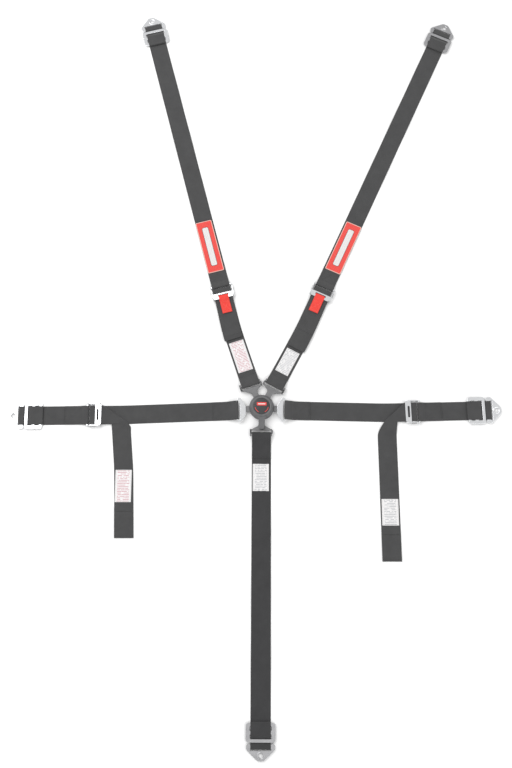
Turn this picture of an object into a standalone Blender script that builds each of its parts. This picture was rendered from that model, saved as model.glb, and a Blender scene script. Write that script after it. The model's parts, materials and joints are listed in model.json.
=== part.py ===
"""Five-point racing harness with a rotary cam-lock buckle, laid out flat, face up.

Frame: metres, +Z up. The origin is the centre of the buckle's flat back face, +Y runs towards the
shoulder straps and +X towards the right-hand lap strap. Left and right are as seen from the front.

Each strap has its own line, called a run. It starts on the webbing bar of its tongue and leads
outward, away from the buckle. Distances along a run are called s, distances across it are called v.
"""
import math

import bmesh
import bpy
from mathutils import Matrix, Vector

MM = 0.001

# Webbing: two-inch polyester.
WEB_WIDTH = 50.8 * MM
WEB = 1.3 * MM
GAP = 0.3 * MM
LAYER_1 = WEB / 2
LAYER_2 = LAYER_1 + WEB + 0.2 * MM
LAYER_3 = LAYER_2 + WEB + 0.2 * MM

# Buckle, from the back face up.
BUCKLE_RADIUS = 33.5 * MM
BASE_TOP = 7.6 * MM
TONGUE_Z = (8.0 * MM, 10.6 * MM)
CHANNEL_WIDTH = 20.2 * MM
CHANNEL_TOP = 11.4 * MM
HOUSING_TOP = 16.6 * MM
RING_RADIUS = 31.0 * MM
RING_Z = (17.2 * MM, 27.0 * MM)
CAM_Z = (18.2 * MM, 19.8 * MM)
PIN_CIRCLE = 21.0 * MM
PIN_RADIUS = 3.5 * MM
PIN_HOLE_RADIUS = 4.2 * MM
BADGE_RADIUS = 21.5 * MM
BADGE_SEAT = 25.2 * MM
SCREWS_DEG = (35.0, 145.0, 228.0, 312.0)
SCREW_CIRCLE = 26.0 * MM
SCREW_RECESS = 3.6 * MM
LEVER_REACH = 61.0 * MM
LEVER_WIDTH = 15.0 * MM

# Tongues.
NECK_WIDTH = 16.5 * MM
HEAD_WIDTH = 62.0 * MM
SLOT_WIDTH = 55.0 * MM
TONGUE_BAR = 4.0 * MM
TONGUE_SLOT = 5.6 * MM
TONGUE_BAR_Z = sum(TONGUE_Z) / 2
LAP_LOOP_Z = (11.0 * MM, 13.6 * MM)

# Adjusters: distances from the front edge of the lip, outward.
LIP_DEPTH = 15.5 * MM
LIP_Z = (10.0 * MM, 12.0 * MM)
LIP_SLOT = (6.2 * MM, 11.8 * MM)
LIP_SLOT_WIDTH = 31.0 * MM
WALL_IN = 28.6 * MM
WALL = 2.0 * MM
WALL_Z = (0.6 * MM, 13.4 * MM)
WALL_END = 41.0 * MM
GRIP_AT = 23.5 * MM
GRIP_Z = 5.3 * MM
GRIP_SIZE = (12.0 * MM, 4.0 * MM)
GRIP_TRAVEL = 2.0 * MM
GRIP_TURN = 3.3 * MM
REAR_AT = 38.0 * MM
REAR_Z = 4.6 * MM
REAR_SIZE = (4.4 * MM, 3.0 * MM)
REAR_TURN = 3.65 * MM

# Anchor hardware: distances from the near edge of the three-bar slide, outward.
SLIDE_LENGTH = 46.5 * MM
SLIDE_WIDTH = 74.0 * MM
SLIDE_Z = (4.0 * MM, 6.5 * MM)
NEAR_BAR = 7.5 * MM
CENTRE_BAR = (19.0 * MM, 27.0 * MM)
FAR_BAR = 8.0 * MM
PIVOT_AT = 55.5 * MM
PIVOT_Z = 4.3 * MM
BRACKET_THICKNESS = 2.8 * MM
BRACKET_BAR = 10.0 * MM
BRACKET_SLOT = 5.0 * MM
BRACKET_WIDTH = 75.0 * MM
BOLT_AT = 21.8 * MM
BOLT_HOLE_RADIUS = 7.0 * MM
BRACKET_TIP_RADIUS = 12.5 * MM

# Sewn overlaps, measured from the bar that the webbing turns round.
SHOULDER_OVERLAP = 52.0 * MM
TOP_OVERLAP = 66.0 * MM
FRAME_OVERLAP = 62.0 * MM

# Radius at which the webbing turns round a tongue's bar.
TONGUE_TURN = 3.35 * MM

# Sewn-on labels and patches.
LABEL = 0.4 * MM
PATCH = 1.0 * MM
PATCH_WIDTH = 44.0 * MM

# The five straps, in millimetres and degrees. pin_deg is the latch pin's direction from the centre,
# bar is the middle of the tongue's webbing bar, and the rest are distances along the run:
# adjuster is the front edge of its lip, slide is the near edge of the three-bar slide.
RUNS = {
    "left_shoulder": {
        "pin_deg": 116.0,
        "bar": (-29.5, 62.0),
        "heading_deg": 108.3,
        "bend_at": 163.0,
        "far_heading_deg": 104.4,
        "adjuster": 257.5,
        "slide": 1081.0,
        "tail_to": 140.0,
        "hem": 14.0,
        "tail_shift": 4.0,
        "label": (42.0, 130.0, 41.0),
        "patch": (341.0, 494.0),
        "patch_shift": 2.0,
    },
    "right_shoulder": {
        "pin_deg": 61.5,
        "bar": (34.3, 59.7),
        "heading_deg": 61.8,
        "bend_at": 178.0,
        "far_heading_deg": 65.4,
        "adjuster": 278.5,
        "slide": 1137.0,
        "tail_to": 122.0,
        "hem": 57.0,
        "tail_shift": 3.0,
        "label": (41.5, 113.0, 38.0),
        "patch": (369.0, 522.0),
        "patch_shift": 2.0,
    },
    "left_lap": {
        "pin_deg": 188.0,
        "bar": (-66.0, -8.0),
        "heading_deg": 182.15,
        "bend_at": 300.0,
        "far_heading_deg": 180.6,
        "adjuster": 366.0,
        "slide": 526.0,
        "fold": ((-429.0, 5.0), (-359.0, -43.0)),
        "hang": ((-377.0, -64.0), (-367.0, -170.0), (-361.0, -346.0)),
        "hem": 78.0,
        "label": (-168.0, -253.0, 43.0),
    },
    "right_lap": {
        "pin_deg": 352.0,
        "bar": (65.0, -7.5),
        "heading_deg": 358.7,
        "bend_at": 270.0,
        "far_heading_deg": 361.3,
        "adjuster": 322.0,
        "slide": 492.0,
        "fold": ((384.0, 9.0), (331.0, -38.0)),
        "hang": ((337.0, -78.0), (338.0, -200.0), (339.0, -406.0)),
        "hem": 77.0,
        "label": (-245.0, -314.0, 44.0),
    },
    "crotch": {
        "pin_deg": 270.0,
        "bar": (-0.5, -71.0),
        "heading_deg": 269.75,
        "bend_at": 400.0,
        "far_heading_deg": 269.75,
        "slide": 728.0,
        "label": (81.0, 153.0, 43.0),
        "label_shift": -1.5,
    },
}

BEND_LENGTH = 60.0 * MM

# How much higher the upper end of a lap tail's crease lies than its lower end.
FOLD_RISE = 4.4 * MM

COLOURS = {
    "webbing": (0.075, 0.075, 0.078, 0.85, 0.0),
    "buckle_dark": (0.10, 0.10, 0.105, 0.45, 0.6),
    "badge": (0.02, 0.02, 0.022, 0.35, 0.0),
    "tongue_grey": (0.18, 0.18, 0.18, 0.45, 0.8),
    "chrome": (0.80, 0.82, 0.84, 0.15, 1.0),
    "zinc": (0.45, 0.45, 0.46, 0.35, 1.0),
    "red": (0.90, 0.08, 0.06, 0.70, 0.0),
    "label": (0.85, 0.85, 0.85, 0.60, 0.0),
    "steel": (0.50, 0.50, 0.50, 0.35, 1.0),
}


# ---------------------------------------------------------------- scene helpers


def clear_scene():
    """Remove every object, so that the model is all there is."""
    for old in list(bpy.data.objects):
        bpy.data.objects.remove(old, do_unlink=True)


def material(name):
    """Return the named finish as a Principled material."""
    found = bpy.data.materials.get(name)
    if found:
        return found
    red, green, blue, rough, metal = COLOURS[name]
    made = bpy.data.materials.new(name)
    made.use_nodes = True
    shader = made.node_tree.nodes["Principled BSDF"]
    shader.inputs["Base Color"].default_value = (red, green, blue, 1.0)
    shader.inputs["Roughness"].default_value = rough
    shader.inputs["Metallic"].default_value = metal
    made.diffuse_color = (red, green, blue, 1.0)
    return made


def empty(name, matrix):
    """Add an empty that marks a joint axis or the start of a run."""
    made = bpy.data.objects.new(name, None)
    bpy.context.collection.objects.link(made)
    made.matrix_world = matrix
    return made


def add_object(name, mesh, finish, matrix=None, parent=None, sharp_deg=30.0):
    """Link a mesh as an object, in world place matrix, below an optional empty."""
    mesh.materials.clear()
    mesh.materials.append(material(finish))
    mesh.shade_smooth()
    mesh.set_sharp_from_angle(angle=math.radians(sharp_deg))
    made = bpy.data.objects.new(name, mesh)
    bpy.context.collection.objects.link(made)
    bpy.context.view_layer.update()
    made.parent = parent
    made.matrix_world = matrix or Matrix.Identity(4)
    return made


def finish_mesh(bm, name):
    """Turn a bmesh into a mesh whose faces all point out."""
    bmesh.ops.recalc_face_normals(bm, faces=bm.faces[:])
    mesh = bpy.data.meshes.new(name)
    bm.to_mesh(mesh)
    bm.free()
    return mesh


def combine(base, others, operation):
    """Return the mesh left after a Boolean of base with each of the others."""
    target = bpy.data.objects.new("target", base)
    bpy.context.collection.objects.link(target)
    tools = []
    for other in others:
        tool = bpy.data.objects.new("tool", other)
        bpy.context.collection.objects.link(tool)
        tools.append(tool)
        step = target.modifiers.new("combine", "BOOLEAN")
        step.operation = operation
        step.solver = "EXACT"
        step.object = tool
    graph = bpy.context.evaluated_depsgraph_get()
    result = bpy.data.meshes.new_from_object(target.evaluated_get(graph))
    for spare in tools + [target]:
        bpy.data.objects.remove(spare, do_unlink=True)
    return result


# ---------------------------------------------------------------- outlines and solids


def arc(centre, radius, start_deg, end_deg, steps):
    """Points along an arc, both ends included."""
    points = []
    for i in range(steps + 1):
        angle = math.radians(start_deg + (end_deg - start_deg) * i / steps)
        points.append((centre[0] + radius * math.cos(angle), centre[1] + radius * math.sin(angle)))
    return points


def rounded(corners, steps=4):
    """Round the corners (x, y, radius) of a closed outline."""
    outline = []
    count = len(corners)
    for i, (x, y, radius) in enumerate(corners):
        here = Vector((x, y))
        before = (Vector(corners[i - 1][:2]) - here).normalized()
        after = (Vector(corners[(i + 1) % count][:2]) - here).normalized()
        half = before.angle(after) / 2
        if radius <= 0 or half > math.radians(89.0):
            outline.append((x, y))
            continue
        centre = here + (before + after).normalized() * (radius / math.sin(half))
        first = here + before * (radius / math.tan(half)) - centre
        last = here + after * (radius / math.tan(half)) - centre
        turn = first.angle_signed(last)
        for k in range(steps + 1):
            spoke = first.copy()
            spoke.rotate(Matrix.Rotation(-turn * k / steps, 2))
            outline.append(tuple(centre + spoke))
    return outline


def rectangle(x0, x1, y0, y1, radius=0.0, steps=3):
    """A closed rectangle, its corners rounded where a radius is given."""
    corners = [(x0, y0, radius), (x1, y0, radius), (x1, y1, radius), (x0, y1, radius)]
    return rounded(corners, steps)


def circle(centre, radius, steps=20):
    """A closed circle."""
    return arc(centre, radius, 0.0, 360.0, steps)[:-1]


def plate_mesh(name, outline, holes, z0, z1):
    """Extrude a flat outline with holes from z0 up to z1."""
    bm = bmesh.new()
    for loop in [outline] + list(holes):
        ring = [bm.verts.new((x, y, z0)) for x, y in loop]
        for i, vert in enumerate(ring):
            bm.edges.new((vert, ring[(i + 1) % len(ring)]))
    bmesh.ops.triangle_fill(bm, use_beauty=True, edges=bm.edges[:])
    grown = bmesh.ops.extrude_face_region(bm, geom=bm.faces[:])
    lifted = [item for item in grown["geom"] if isinstance(item, bmesh.types.BMVert)]
    bmesh.ops.translate(bm, verts=lifted, vec=(0.0, 0.0, z1 - z0))
    return finish_mesh(bm, name)


def stand_up(mesh):
    """Turn a plate drawn in x and y so that its y runs along world z, centred on its thickness."""
    mesh.transform(Matrix.Rotation(math.radians(90.0), 4, "X"))
    return mesh


def turned_mesh(name, profile, steps):
    """Turn a closed profile of (radius, z) points about the z axis."""
    bm = bmesh.new()
    rings = []
    for radius, z in profile:
        if radius < 1e-9:
            rings.append([bm.verts.new((0.0, 0.0, z))] * steps)
            continue
        ring = []
        for k in range(steps):
            angle = 2.0 * math.pi * k / steps
            ring.append(bm.verts.new((radius * math.cos(angle), radius * math.sin(angle), z)))
        rings.append(ring)
    for i, ring in enumerate(rings):
        above = rings[(i + 1) % len(rings)]
        for k in range(steps):
            following = (k + 1) % steps
            corners = []
            for vert in (ring[k], ring[following], above[following], above[k]):
                if vert not in corners:
                    corners.append(vert)
            if len(corners) > 2:
                bm.faces.new(corners)
    return finish_mesh(bm, name)


def ribbon_mesh(name, stations, thickness):
    """Make a strip of webbing from stations of (one edge, other edge, normal)."""
    bm = bmesh.new()
    rows = []
    for one, other, normal in stations:
        lift = normal * (thickness / 2)
        row = [one + lift, other + lift, other - lift, one - lift]
        rows.append([bm.verts.new(corner) for corner in row])
    for near, far in zip(rows, rows[1:]):
        for k in range(4):
            following = (k + 1) % 4
            bm.faces.new((near[k], near[following], far[following], far[k]))
    bm.faces.new(rows[0])
    bm.faces.new(list(reversed(rows[-1])))
    return finish_mesh(bm, name)


# ---------------------------------------------------------------- runs


class Run:
    """The line that one strap follows over the ground, with one gentle bend in its plane."""

    def __init__(self, spec):
        self.start = Vector((spec["bar"][0] * MM, spec["bar"][1] * MM))
        self.heading = math.radians(spec["heading_deg"])
        self.far_heading = math.radians(spec["far_heading_deg"])
        self.bend_at = spec["bend_at"] * MM

    def at(self, s):
        """Return the centre point and the heading at distance s."""
        bend_start = self.bend_at - BEND_LENGTH / 2
        change = self.far_heading - self.heading
        straight = min(s, bend_start)
        point = self.start + straight * Vector((math.cos(self.heading), math.sin(self.heading)))
        bent = min(max(s - bend_start, 0.0), BEND_LENGTH)
        middle = self.heading + change * bent / BEND_LENGTH / 2
        point += bent * Vector((math.cos(middle), math.sin(middle)))
        heading = self.heading + change * bent / BEND_LENGTH
        rest = max(s - bend_start - BEND_LENGTH, 0.0)
        point += rest * Vector((math.cos(heading), math.sin(heading)))
        return point, heading

    def place(self, s, v, z):
        """Return the world point at s along, v across (left of the heading) and z up."""
        point, heading = self.at(s)
        return Vector((point.x - v * math.sin(heading), point.y + v * math.cos(heading), z))

    def matrix(self, s, z=0.0):
        """Return the frame whose x axis runs outward along the strap at s."""
        point, heading = self.at(s)
        turn = Matrix.Rotation(heading, 4, "Z")
        return Matrix.Translation((point.x, point.y, z)) @ turn


def profile_normals(profile):
    """Return the unit normal of a path of (s, z) points at each point."""
    normals = []
    for i in range(len(profile)):
        before = Vector(profile[max(i - 1, 0)])
        after = Vector(profile[min(i + 1, len(profile) - 1)])
        along = (after - before).normalized()
        normals.append(Vector((-along.y, along.x)))
    return normals


def run_stations(run, profile, home, shift=None):
    """Turn a side profile of (s, z) points into ribbon stations in the frame home."""
    back = home.inverted()
    stations = []
    for (s, z), normal in zip(profile, profile_normals(profile)):
        heading = run.at(s)[1]
        aside = shift(s) if shift else 0.0
        one = back @ run.place(s, aside + WEB_WIDTH / 2, z)
        other = back @ run.place(s, aside - WEB_WIDTH / 2, z)
        flat = Vector((math.cos(heading), math.sin(heading), 0.0)) * normal.x
        lift = back.to_3x3() @ (flat + Vector((0.0, 0.0, normal.y)))
        stations.append((one, other, lift))
    return stations


def spaced(s0, z0, s1, z1, step=60.0 * MM):
    """Points along a straight stretch, without its first point."""
    count = max(1, round(abs(s1 - s0) / step))
    return [(s0 + (s1 - s0) * i / count, z0 + (z1 - z0) * i / count) for i in range(1, count + 1)]


# ---------------------------------------------------------------- buckle


def buckle_base():
    """Die-cast back plate with a pocket for the spring and four screw recesses in its back."""
    profile = [
        (0.0, 0.0),
        (BUCKLE_RADIUS - 1.2 * MM, 0.0),
        (BUCKLE_RADIUS, 1.2 * MM),
        (BUCKLE_RADIUS, BASE_TOP),
        (12.5 * MM, BASE_TOP),
        (12.5 * MM, 2.6 * MM),
        (0.0, 2.6 * MM),
    ]
    body = turned_mesh("buckle_base", profile, 48)
    recesses = []
    for angle in SCREWS_DEG:
        spoke = Vector((math.cos(math.radians(angle)), math.sin(math.radians(angle)))) * SCREW_CIRCLE
        recesses.append(plate_mesh("recess", circle(spoke, SCREW_RECESS, 16), [], -1.0 * MM, 1.6 * MM))
    add_object("buckle_base", combine(body, recesses, "DIFFERENCE"), "buckle_dark")


def buckle_housing():
    """Upper casing with five mouths for the tongues and a bore for each latch pin."""
    profile = [
        (13.0 * MM, BASE_TOP + GAP),
        (BUCKLE_RADIUS, BASE_TOP + GAP),
        (BUCKLE_RADIUS, 13.2 * MM),
        (BUCKLE_RADIUS - 1.3 * MM, 15.4 * MM),
        (BUCKLE_RADIUS - 3.4 * MM, HOUSING_TOP),
        (5.4 * MM, HOUSING_TOP),
        (5.4 * MM, 13.6 * MM),
        (13.0 * MM, 13.6 * MM),
    ]
    body = turned_mesh("buckle_housing", profile, 48)
    cutters = []
    for spec in RUNS.values():
        turn = Matrix.Rotation(math.radians(spec["pin_deg"]), 4, "Z")
        half = CHANNEL_WIDTH / 2
        mouth = rectangle(9.0 * MM, 40.0 * MM, -half, half)
        channel = plate_mesh("channel", mouth, [], 5.0 * MM, CHANNEL_TOP)
        channel.transform(turn)
        cutters.append(channel)
        bore = plate_mesh("bore", circle((PIN_CIRCLE, 0.0), PIN_RADIUS + GAP, 16), [], 9.0 * MM, 20.0 * MM)
        bore.transform(turn)
        cutters.append(bore)
    add_object("buckle_housing", combine(body, cutters, "DIFFERENCE"), "buckle_dark")


def centre_pivot():
    """Shouldered pivot post, riveted into the base, on which the lever turns."""
    profile = [
        (0.0, 2.6 * MM + GAP),
        (6.4 * MM, 2.6 * MM + GAP),
        (6.4 * MM, 3.6 * MM),
        (5.0 * MM, 3.6 * MM),
        (5.0 * MM, 24.0 * MM),
        (0.0, 24.0 * MM),
    ]
    add_object("centre_pivot", turned_mesh("centre_pivot", profile, 24), "steel")


def return_spring():
    """Torsion spring round the foot of the pivot."""
    turns = 3.0
    wire = 0.6 * MM
    pitch = 1.6 * MM
    steps = 36
    curve = bpy.data.curves.new("return_spring", "CURVE")
    curve.dimensions = "3D"
    curve.bevel_depth = wire
    curve.bevel_resolution = 1
    curve.use_fill_caps = True
    line = curve.splines.new("POLY")
    line.points.add(steps)
    for i, point in enumerate(line.points):
        angle = 2.0 * math.pi * turns * i / steps
        height = 3.6 * MM + pitch * turns * i / steps
        point.co = (9.0 * MM * math.cos(angle), 9.0 * MM * math.sin(angle), height, 1.0)
    coil = bpy.data.objects.new("return_spring", curve)
    bpy.context.collection.objects.link(coil)
    coil.data.materials.append(material("steel"))


def latch_pins():
    """A spring-loaded pin for each releasable tongue, and the fixed rivet of the crotch tongue."""
    for side, spec in RUNS.items():
        angle = math.radians(spec["pin_deg"])
        spot = (PIN_CIRCLE * math.cos(angle), PIN_CIRCLE * math.sin(angle), 0.0)
        foot = TONGUE_Z[0] + 0.4 * MM
        head = CAM_Z[1] + GAP
        if side == "crotch":
            foot = BASE_TOP + GAP
            head = HOUSING_TOP - 1.0 * MM
        profile = [(0.0, foot), (PIN_RADIUS - 0.6 * MM, foot), (PIN_RADIUS, foot + 0.6 * MM)]
        if side == "crotch":
            profile += [(PIN_RADIUS, head), (0.0, head)]
            name = "crotch_rivet"
        else:
            rim = PIN_RADIUS + 2.0 * MM
            profile += [(PIN_RADIUS, head), (rim, head), (rim, head + 1.2 * MM), (0.0, head + 1.2 * MM)]
            name = side + "_latch_pin"
        mesh = turned_mesh(name, profile, 16)
        add_object(name, mesh, "steel", Matrix.Translation(spot))


def cam_plate():
    """Lobed plate under the ring, which lifts the pin heads when the lever turns."""
    outline = []
    steps = 60
    for k in range(steps):
        angle = 2.0 * math.pi * k / steps
        radius = 16.2 * MM + 0.5 * MM * math.cos(5.0 * angle)
        outline.append((radius * math.cos(angle), radius * math.sin(angle)))
    mesh = plate_mesh("cam_plate", outline, [circle((0.0, 0.0), 5.3 * MM, 24)], *CAM_Z)
    add_object("cam_plate", mesh, "steel")


def release_lever():
    """Ring with a stepped rim and one lever, which points down the crotch strap."""
    low, high = RING_Z
    profile = [
        (27.2 * MM, low),
        (RING_RADIUS, low),
        (RING_RADIUS + 0.6 * MM, low + 2.4 * MM),
        (RING_RADIUS - 0.6 * MM, high - 4.2 * MM),
        (27.4 * MM, high - 1.6 * MM),
        (26.2 * MM, high - 0.2 * MM),
        (24.6 * MM, high),
        (22.4 * MM, high - 0.6 * MM),
        (22.2 * MM, high - 1.0 * MM),
        (22.0 * MM, BADGE_SEAT),
        (5.3 * MM, BADGE_SEAT),
        (5.3 * MM, CAM_Z[1] + 0.4 * MM),
        (14.0 * MM, CAM_Z[1] + 0.4 * MM),
        (14.0 * MM, BADGE_SEAT - 1.2 * MM),
        (27.2 * MM, BADGE_SEAT - 1.2 * MM),
    ]
    ring = turned_mesh("release_lever", profile, 60)
    half = LEVER_WIDTH / 2
    root = -math.sqrt((RING_RADIUS - 1.0 * MM) ** 2 - (half + 5.0 * MM) ** 2)
    corners = [
        (-half - 5.0 * MM, root, 0.0),
        (-half, root - 7.5 * MM, 6.0 * MM),
        (-half + 0.6 * MM, -LEVER_REACH, 5.0 * MM),
        (half - 0.6 * MM, -LEVER_REACH, 5.0 * MM),
        (half, root - 7.5 * MM, 6.0 * MM),
        (half + 5.0 * MM, root, 0.0),
        (half, -28.2 * MM, 0.0),
        (-half, -28.2 * MM, 0.0),
    ]
    paddle = plate_mesh("paddle", rounded(corners, 4), [], low + 1.0 * MM, high - 3.6 * MM)
    add_object("release_lever", combine(ring, [paddle], "UNION"), "buckle_dark")


def lever_badge():
    """Domed disc in the middle of the ring."""
    low = BADGE_SEAT + GAP
    profile = [
        (0.0, low),
        (BADGE_RADIUS, low),
        (BADGE_RADIUS, low + 0.9 * MM),
        (BADGE_RADIUS - 0.8 * MM, low + 1.5 * MM),
        (12.0 * MM, low + 1.9 * MM),
        (0.0, low + 2.0 * MM),
    ]
    add_object("lever_badge", turned_mesh("lever_badge", profile, 48), "badge")


# ---------------------------------------------------------------- tongues


def tongue_outline(neck_end, head_in, head_half, pin):
    """Outline of a tongue in its run's frame: webbing bar at x = 0, the buckle on the -x side."""
    toward = Vector(pin).normalized()
    side = Vector((-toward.y, toward.x)) * (NECK_WIDTH / 2)
    pin_point = Vector(pin)
    root = toward * neck_end
    heel = math.degrees(math.atan2(toward.y, toward.x))
    nose = arc(pin_point, NECK_WIDTH / 2, heel + 90.0, heel - 90.0, 8)
    outer = TONGUE_BAR / 2
    right = rounded(
        [
            (pin_point.x + side.x, pin_point.y + side.y, 0.0),
            (root.x + side.x, root.y + side.y, 7.0 * MM),
            (-head_in, -head_half + 9.0 * MM, 9.0 * MM),
            (-head_in + 5.0 * MM, -head_half, 4.5 * MM),
            (outer, -head_half, 5.0 * MM),
            (outer, head_half, 5.0 * MM),
            (-head_in + 5.0 * MM, head_half, 4.5 * MM),
            (-head_in, head_half - 9.0 * MM, 9.0 * MM),
            (root.x - side.x, root.y - side.y, 7.0 * MM),
            (pin_point.x - side.x, pin_point.y - side.y, 0.0),
        ],
        4,
    )
    return right[1:-1] + list(reversed(nose))


def pin_in_run(run, spec):
    """The latch pin's place in the frame of the run."""
    angle = math.radians(spec["pin_deg"])
    world = Vector((PIN_CIRCLE * math.cos(angle), PIN_CIRCLE * math.sin(angle), 0.0))
    local = run.matrix(0.0).inverted() @ world
    return (local.x, local.y)


def head_slot():
    """The webbing slot of a tongue head."""
    edge = -TONGUE_BAR / 2
    half = SLOT_WIDTH / 2
    return rectangle(edge - TONGUE_SLOT, edge, -half, half, 2.2 * MM)


def place_on_pin(mesh, run, spec, z=0.0):
    """Move a mesh drawn in the run's frame so that its origin is on the latch pin."""
    x, y = pin_in_run(run, spec)
    mesh.transform(Matrix.Translation((-x, -y, -z)))
    return run.matrix(0.0) @ Matrix.Translation((x, y, z))


def plain_tongue(side, run, spec):
    """One-piece tongue: neck, pin hole, T-shaped head and slot."""
    pin = pin_in_run(run, spec)
    outline = tongue_outline(21.0 * MM, 13.5 * MM, HEAD_WIDTH / 2, pin)
    hole = circle(pin, PIN_HOLE_RADIUS, 16)
    mesh = plate_mesh(side + "_tongue", outline, [hole, head_slot()], *TONGUE_Z)
    add_object(side + "_tongue", mesh, "tongue_grey", place_on_pin(mesh, run, spec), run.root)


def lap_tongue(side, run, spec):
    """Two-piece lap tongue: a dark neck plate, and a bright triangular webbing loop on it."""
    pin = pin_in_run(run, spec)
    toward = Vector(pin).normalized()
    side_step = Vector((-toward.y, toward.x)) * (NECK_WIDTH / 2)
    heel = math.degrees(math.atan2(toward.y, toward.x))
    nose = arc(pin, NECK_WIDTH / 2, heel + 90.0, heel - 90.0, 8)
    stop = toward * (14.0 * MM)
    tail = [(stop.x - side_step.x, stop.y - side_step.y), (stop.x + side_step.x, stop.y + side_step.y)]
    outline = nose + tail
    hole = circle(pin, PIN_HOLE_RADIUS, 16)
    mesh = plate_mesh(side + "_tongue", outline, [hole], *TONGUE_Z)
    add_object(side + "_tongue", mesh, "tongue_grey", place_on_pin(mesh, run, spec), run.root)

    lap_half = 33.0 * MM
    front = NECK_WIDTH / 2 + 2.0 * MM
    corners = [
        (-23.5 * MM, -front, 3.0 * MM),
        (-10.0 * MM, -lap_half, 8.0 * MM),
        (5.0 * MM, -lap_half, 7.0 * MM),
        (TONGUE_BAR / 2, -SLOT_WIDTH / 2, 0.0),
        (TONGUE_BAR / 2, SLOT_WIDTH / 2, 0.0),
        (5.0 * MM, lap_half, 7.0 * MM),
        (-10.0 * MM, lap_half, 8.0 * MM),
        (-23.5 * MM, front, 3.0 * MM),
    ]
    loop = plate_mesh(side + "_tongue_loop", rounded(corners), [head_slot()], *LAP_LOOP_Z)
    add_object(side + "_tongue_loop", loop, "chrome", place_on_pin(loop, run, spec), run.root)


# ---------------------------------------------------------------- webbing


def tongue_turn(bar_z, from_below):
    """Webbing wrapped round a tongue's bar, on the side of the buckle."""
    start, end = (-90.0, -270.0) if from_below else (90.0, 270.0)
    return arc((0.0, bar_z), TONGUE_TURN, start, end, 6)


def grip_end(adjuster):
    """Webbing under the knurled bar, round it and back under the lip, to the middle of the lip."""
    at = adjuster + GRIP_AT + GRIP_SIZE[0] / 2 - 1.3 * MM
    points = [(adjuster + 14.0 * MM, GRIP_Z - GRIP_TURN)]
    points += arc((at, GRIP_Z), GRIP_TURN, -90.0, 90.0, 6)
    points += [(adjuster + 14.0 * MM, GRIP_Z + GRIP_TURN), (adjuster + 9.4 * MM, GRIP_Z + GRIP_TURN)]
    return points


def strap_head(bar_z, overlap_on_top, overlap):
    """Webbing from its sewn end, round the tongue's bar and down to the ground."""
    low = [(40.0 * MM, LAYER_1), (24.0 * MM, 1.6 * MM), (10.0 * MM, bar_z - TONGUE_TURN - 1.6 * MM)]
    high = [(40.0 * MM, LAYER_2), (26.0 * MM, 3.4 * MM), (12.0 * MM, bar_z + TONGUE_TURN - 3.2 * MM)]
    if overlap_on_top:
        points = [(overlap, LAYER_2)] + high
        points += tongue_turn(bar_z, from_below=False)
        return points + list(reversed(low))
    points = [(overlap, LAYER_1)] + low
    points += tongue_turn(bar_z, from_below=True)
    points += list(reversed(high))
    return points + [(overlap, LAYER_2), (overlap + 12.0 * MM, LAYER_1)]


def anchor_end(slide):
    """Webbing under the slide, round the bracket's bar, over the slide and round its near bar."""
    turn = 2.2 * MM
    over = 7.45 * MM
    bar_top = PIVOT_Z + BRACKET_THICKNESS / 2 + GAP + WEB / 2
    radius = (bar_top - LAYER_1) / 2
    bar_end = slide + PIVOT_AT + BRACKET_BAR / 2
    points = [(slide + 40.0 * MM, LAYER_1)]
    points += arc((bar_end - 0.6 * MM, LAYER_1 + radius), radius, -90.0, 90.0, 6)
    points += [(slide + 51.0 * MM, bar_top), (slide + 50.0 * MM, bar_top)]
    points += [(slide + 48.0 * MM, 4.2 * MM), (slide + 46.8 * MM, 3.0 * MM)]
    points += [(slide + 38.6 * MM, 3.0 * MM), (slide + 36.6 * MM, 3.5 * MM)]
    points += [(slide + 29.6 * MM, over - 0.4 * MM), (slide + 27.6 * MM, over), (slide + 12.0 * MM, over)]
    points += arc((slide + 0.6 * MM, over - turn), turn, 90.0, 270.0, 6)
    return points + [(slide + 8.0 * MM, 2.6 * MM), (slide + 17.0 * MM, LAYER_2)]


def adjustable_strap(side, run, spec):
    """Strap sewn to the tongue and led round the knurled bar of the adjuster."""
    adjuster = spec["adjuster"] * MM
    shoulder = "shoulder" in side
    bar_z = run.bar_z
    overlap = SHOULDER_OVERLAP if shoulder else TOP_OVERLAP
    profile = strap_head(bar_z, not shoulder, overlap)
    last = profile[-1]
    profile += spaced(last[0], last[1], adjuster - 8.0 * MM, LAYER_1, 20.0 * MM)
    profile += grip_end(adjuster)
    home = run.matrix(0.0, bar_z)
    mesh = ribbon_mesh(side + "_strap", run_stations(run, profile, home), WEB)
    add_object(side + "_strap", mesh, "webbing", home, run.root)


def hem_profile(end, hem, low, high):
    """Folded end of a tail: the top layer, the fold, and the layer sewn below it."""
    radius = (high - low) / 2
    points = [(end + hem + 4.0 * MM, high), (end + radius, high)]
    points += arc((end + radius, (low + high) / 2), radius, 90.0, 270.0, 4)[1:]
    return points + [(end + hem, low)]


def shoulder_tail(side, run, spec):
    """Free end of a shoulder strap: out from under the lip and down over the strap below."""
    adjuster = spec["adjuster"] * MM
    end = spec["tail_to"] * MM
    hem = spec["hem"] * MM
    high = GRIP_Z + GRIP_TURN
    profile = [(adjuster + 9.0 * MM, high), (adjuster, high - 0.3 * MM)]
    profile += [(adjuster - 9.0 * MM, 6.2 * MM), (adjuster - 20.0 * MM, 3.4 * MM)]
    profile += [(adjuster - 30.0 * MM, LAYER_2)]
    profile += spaced(adjuster - 30.0 * MM, LAYER_2, end + hem + 10.0 * MM, LAYER_2, 24.0 * MM)
    profile += hem_profile(end, hem, LAYER_2, LAYER_3)
    side_sign = -1.0 if side.startswith("right") else 1.0

    def shift(s):
        reach = max(0.0, adjuster - s) / (adjuster - end)
        return side_sign * spec["tail_shift"] * MM * reach

    home = run.matrix(adjuster)
    mesh = ribbon_mesh(side + "_strap_tail", run_stations(run, profile, home, shift), WEB)
    add_object(side + "_strap_tail", mesh, "webbing", home, run.far)


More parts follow.
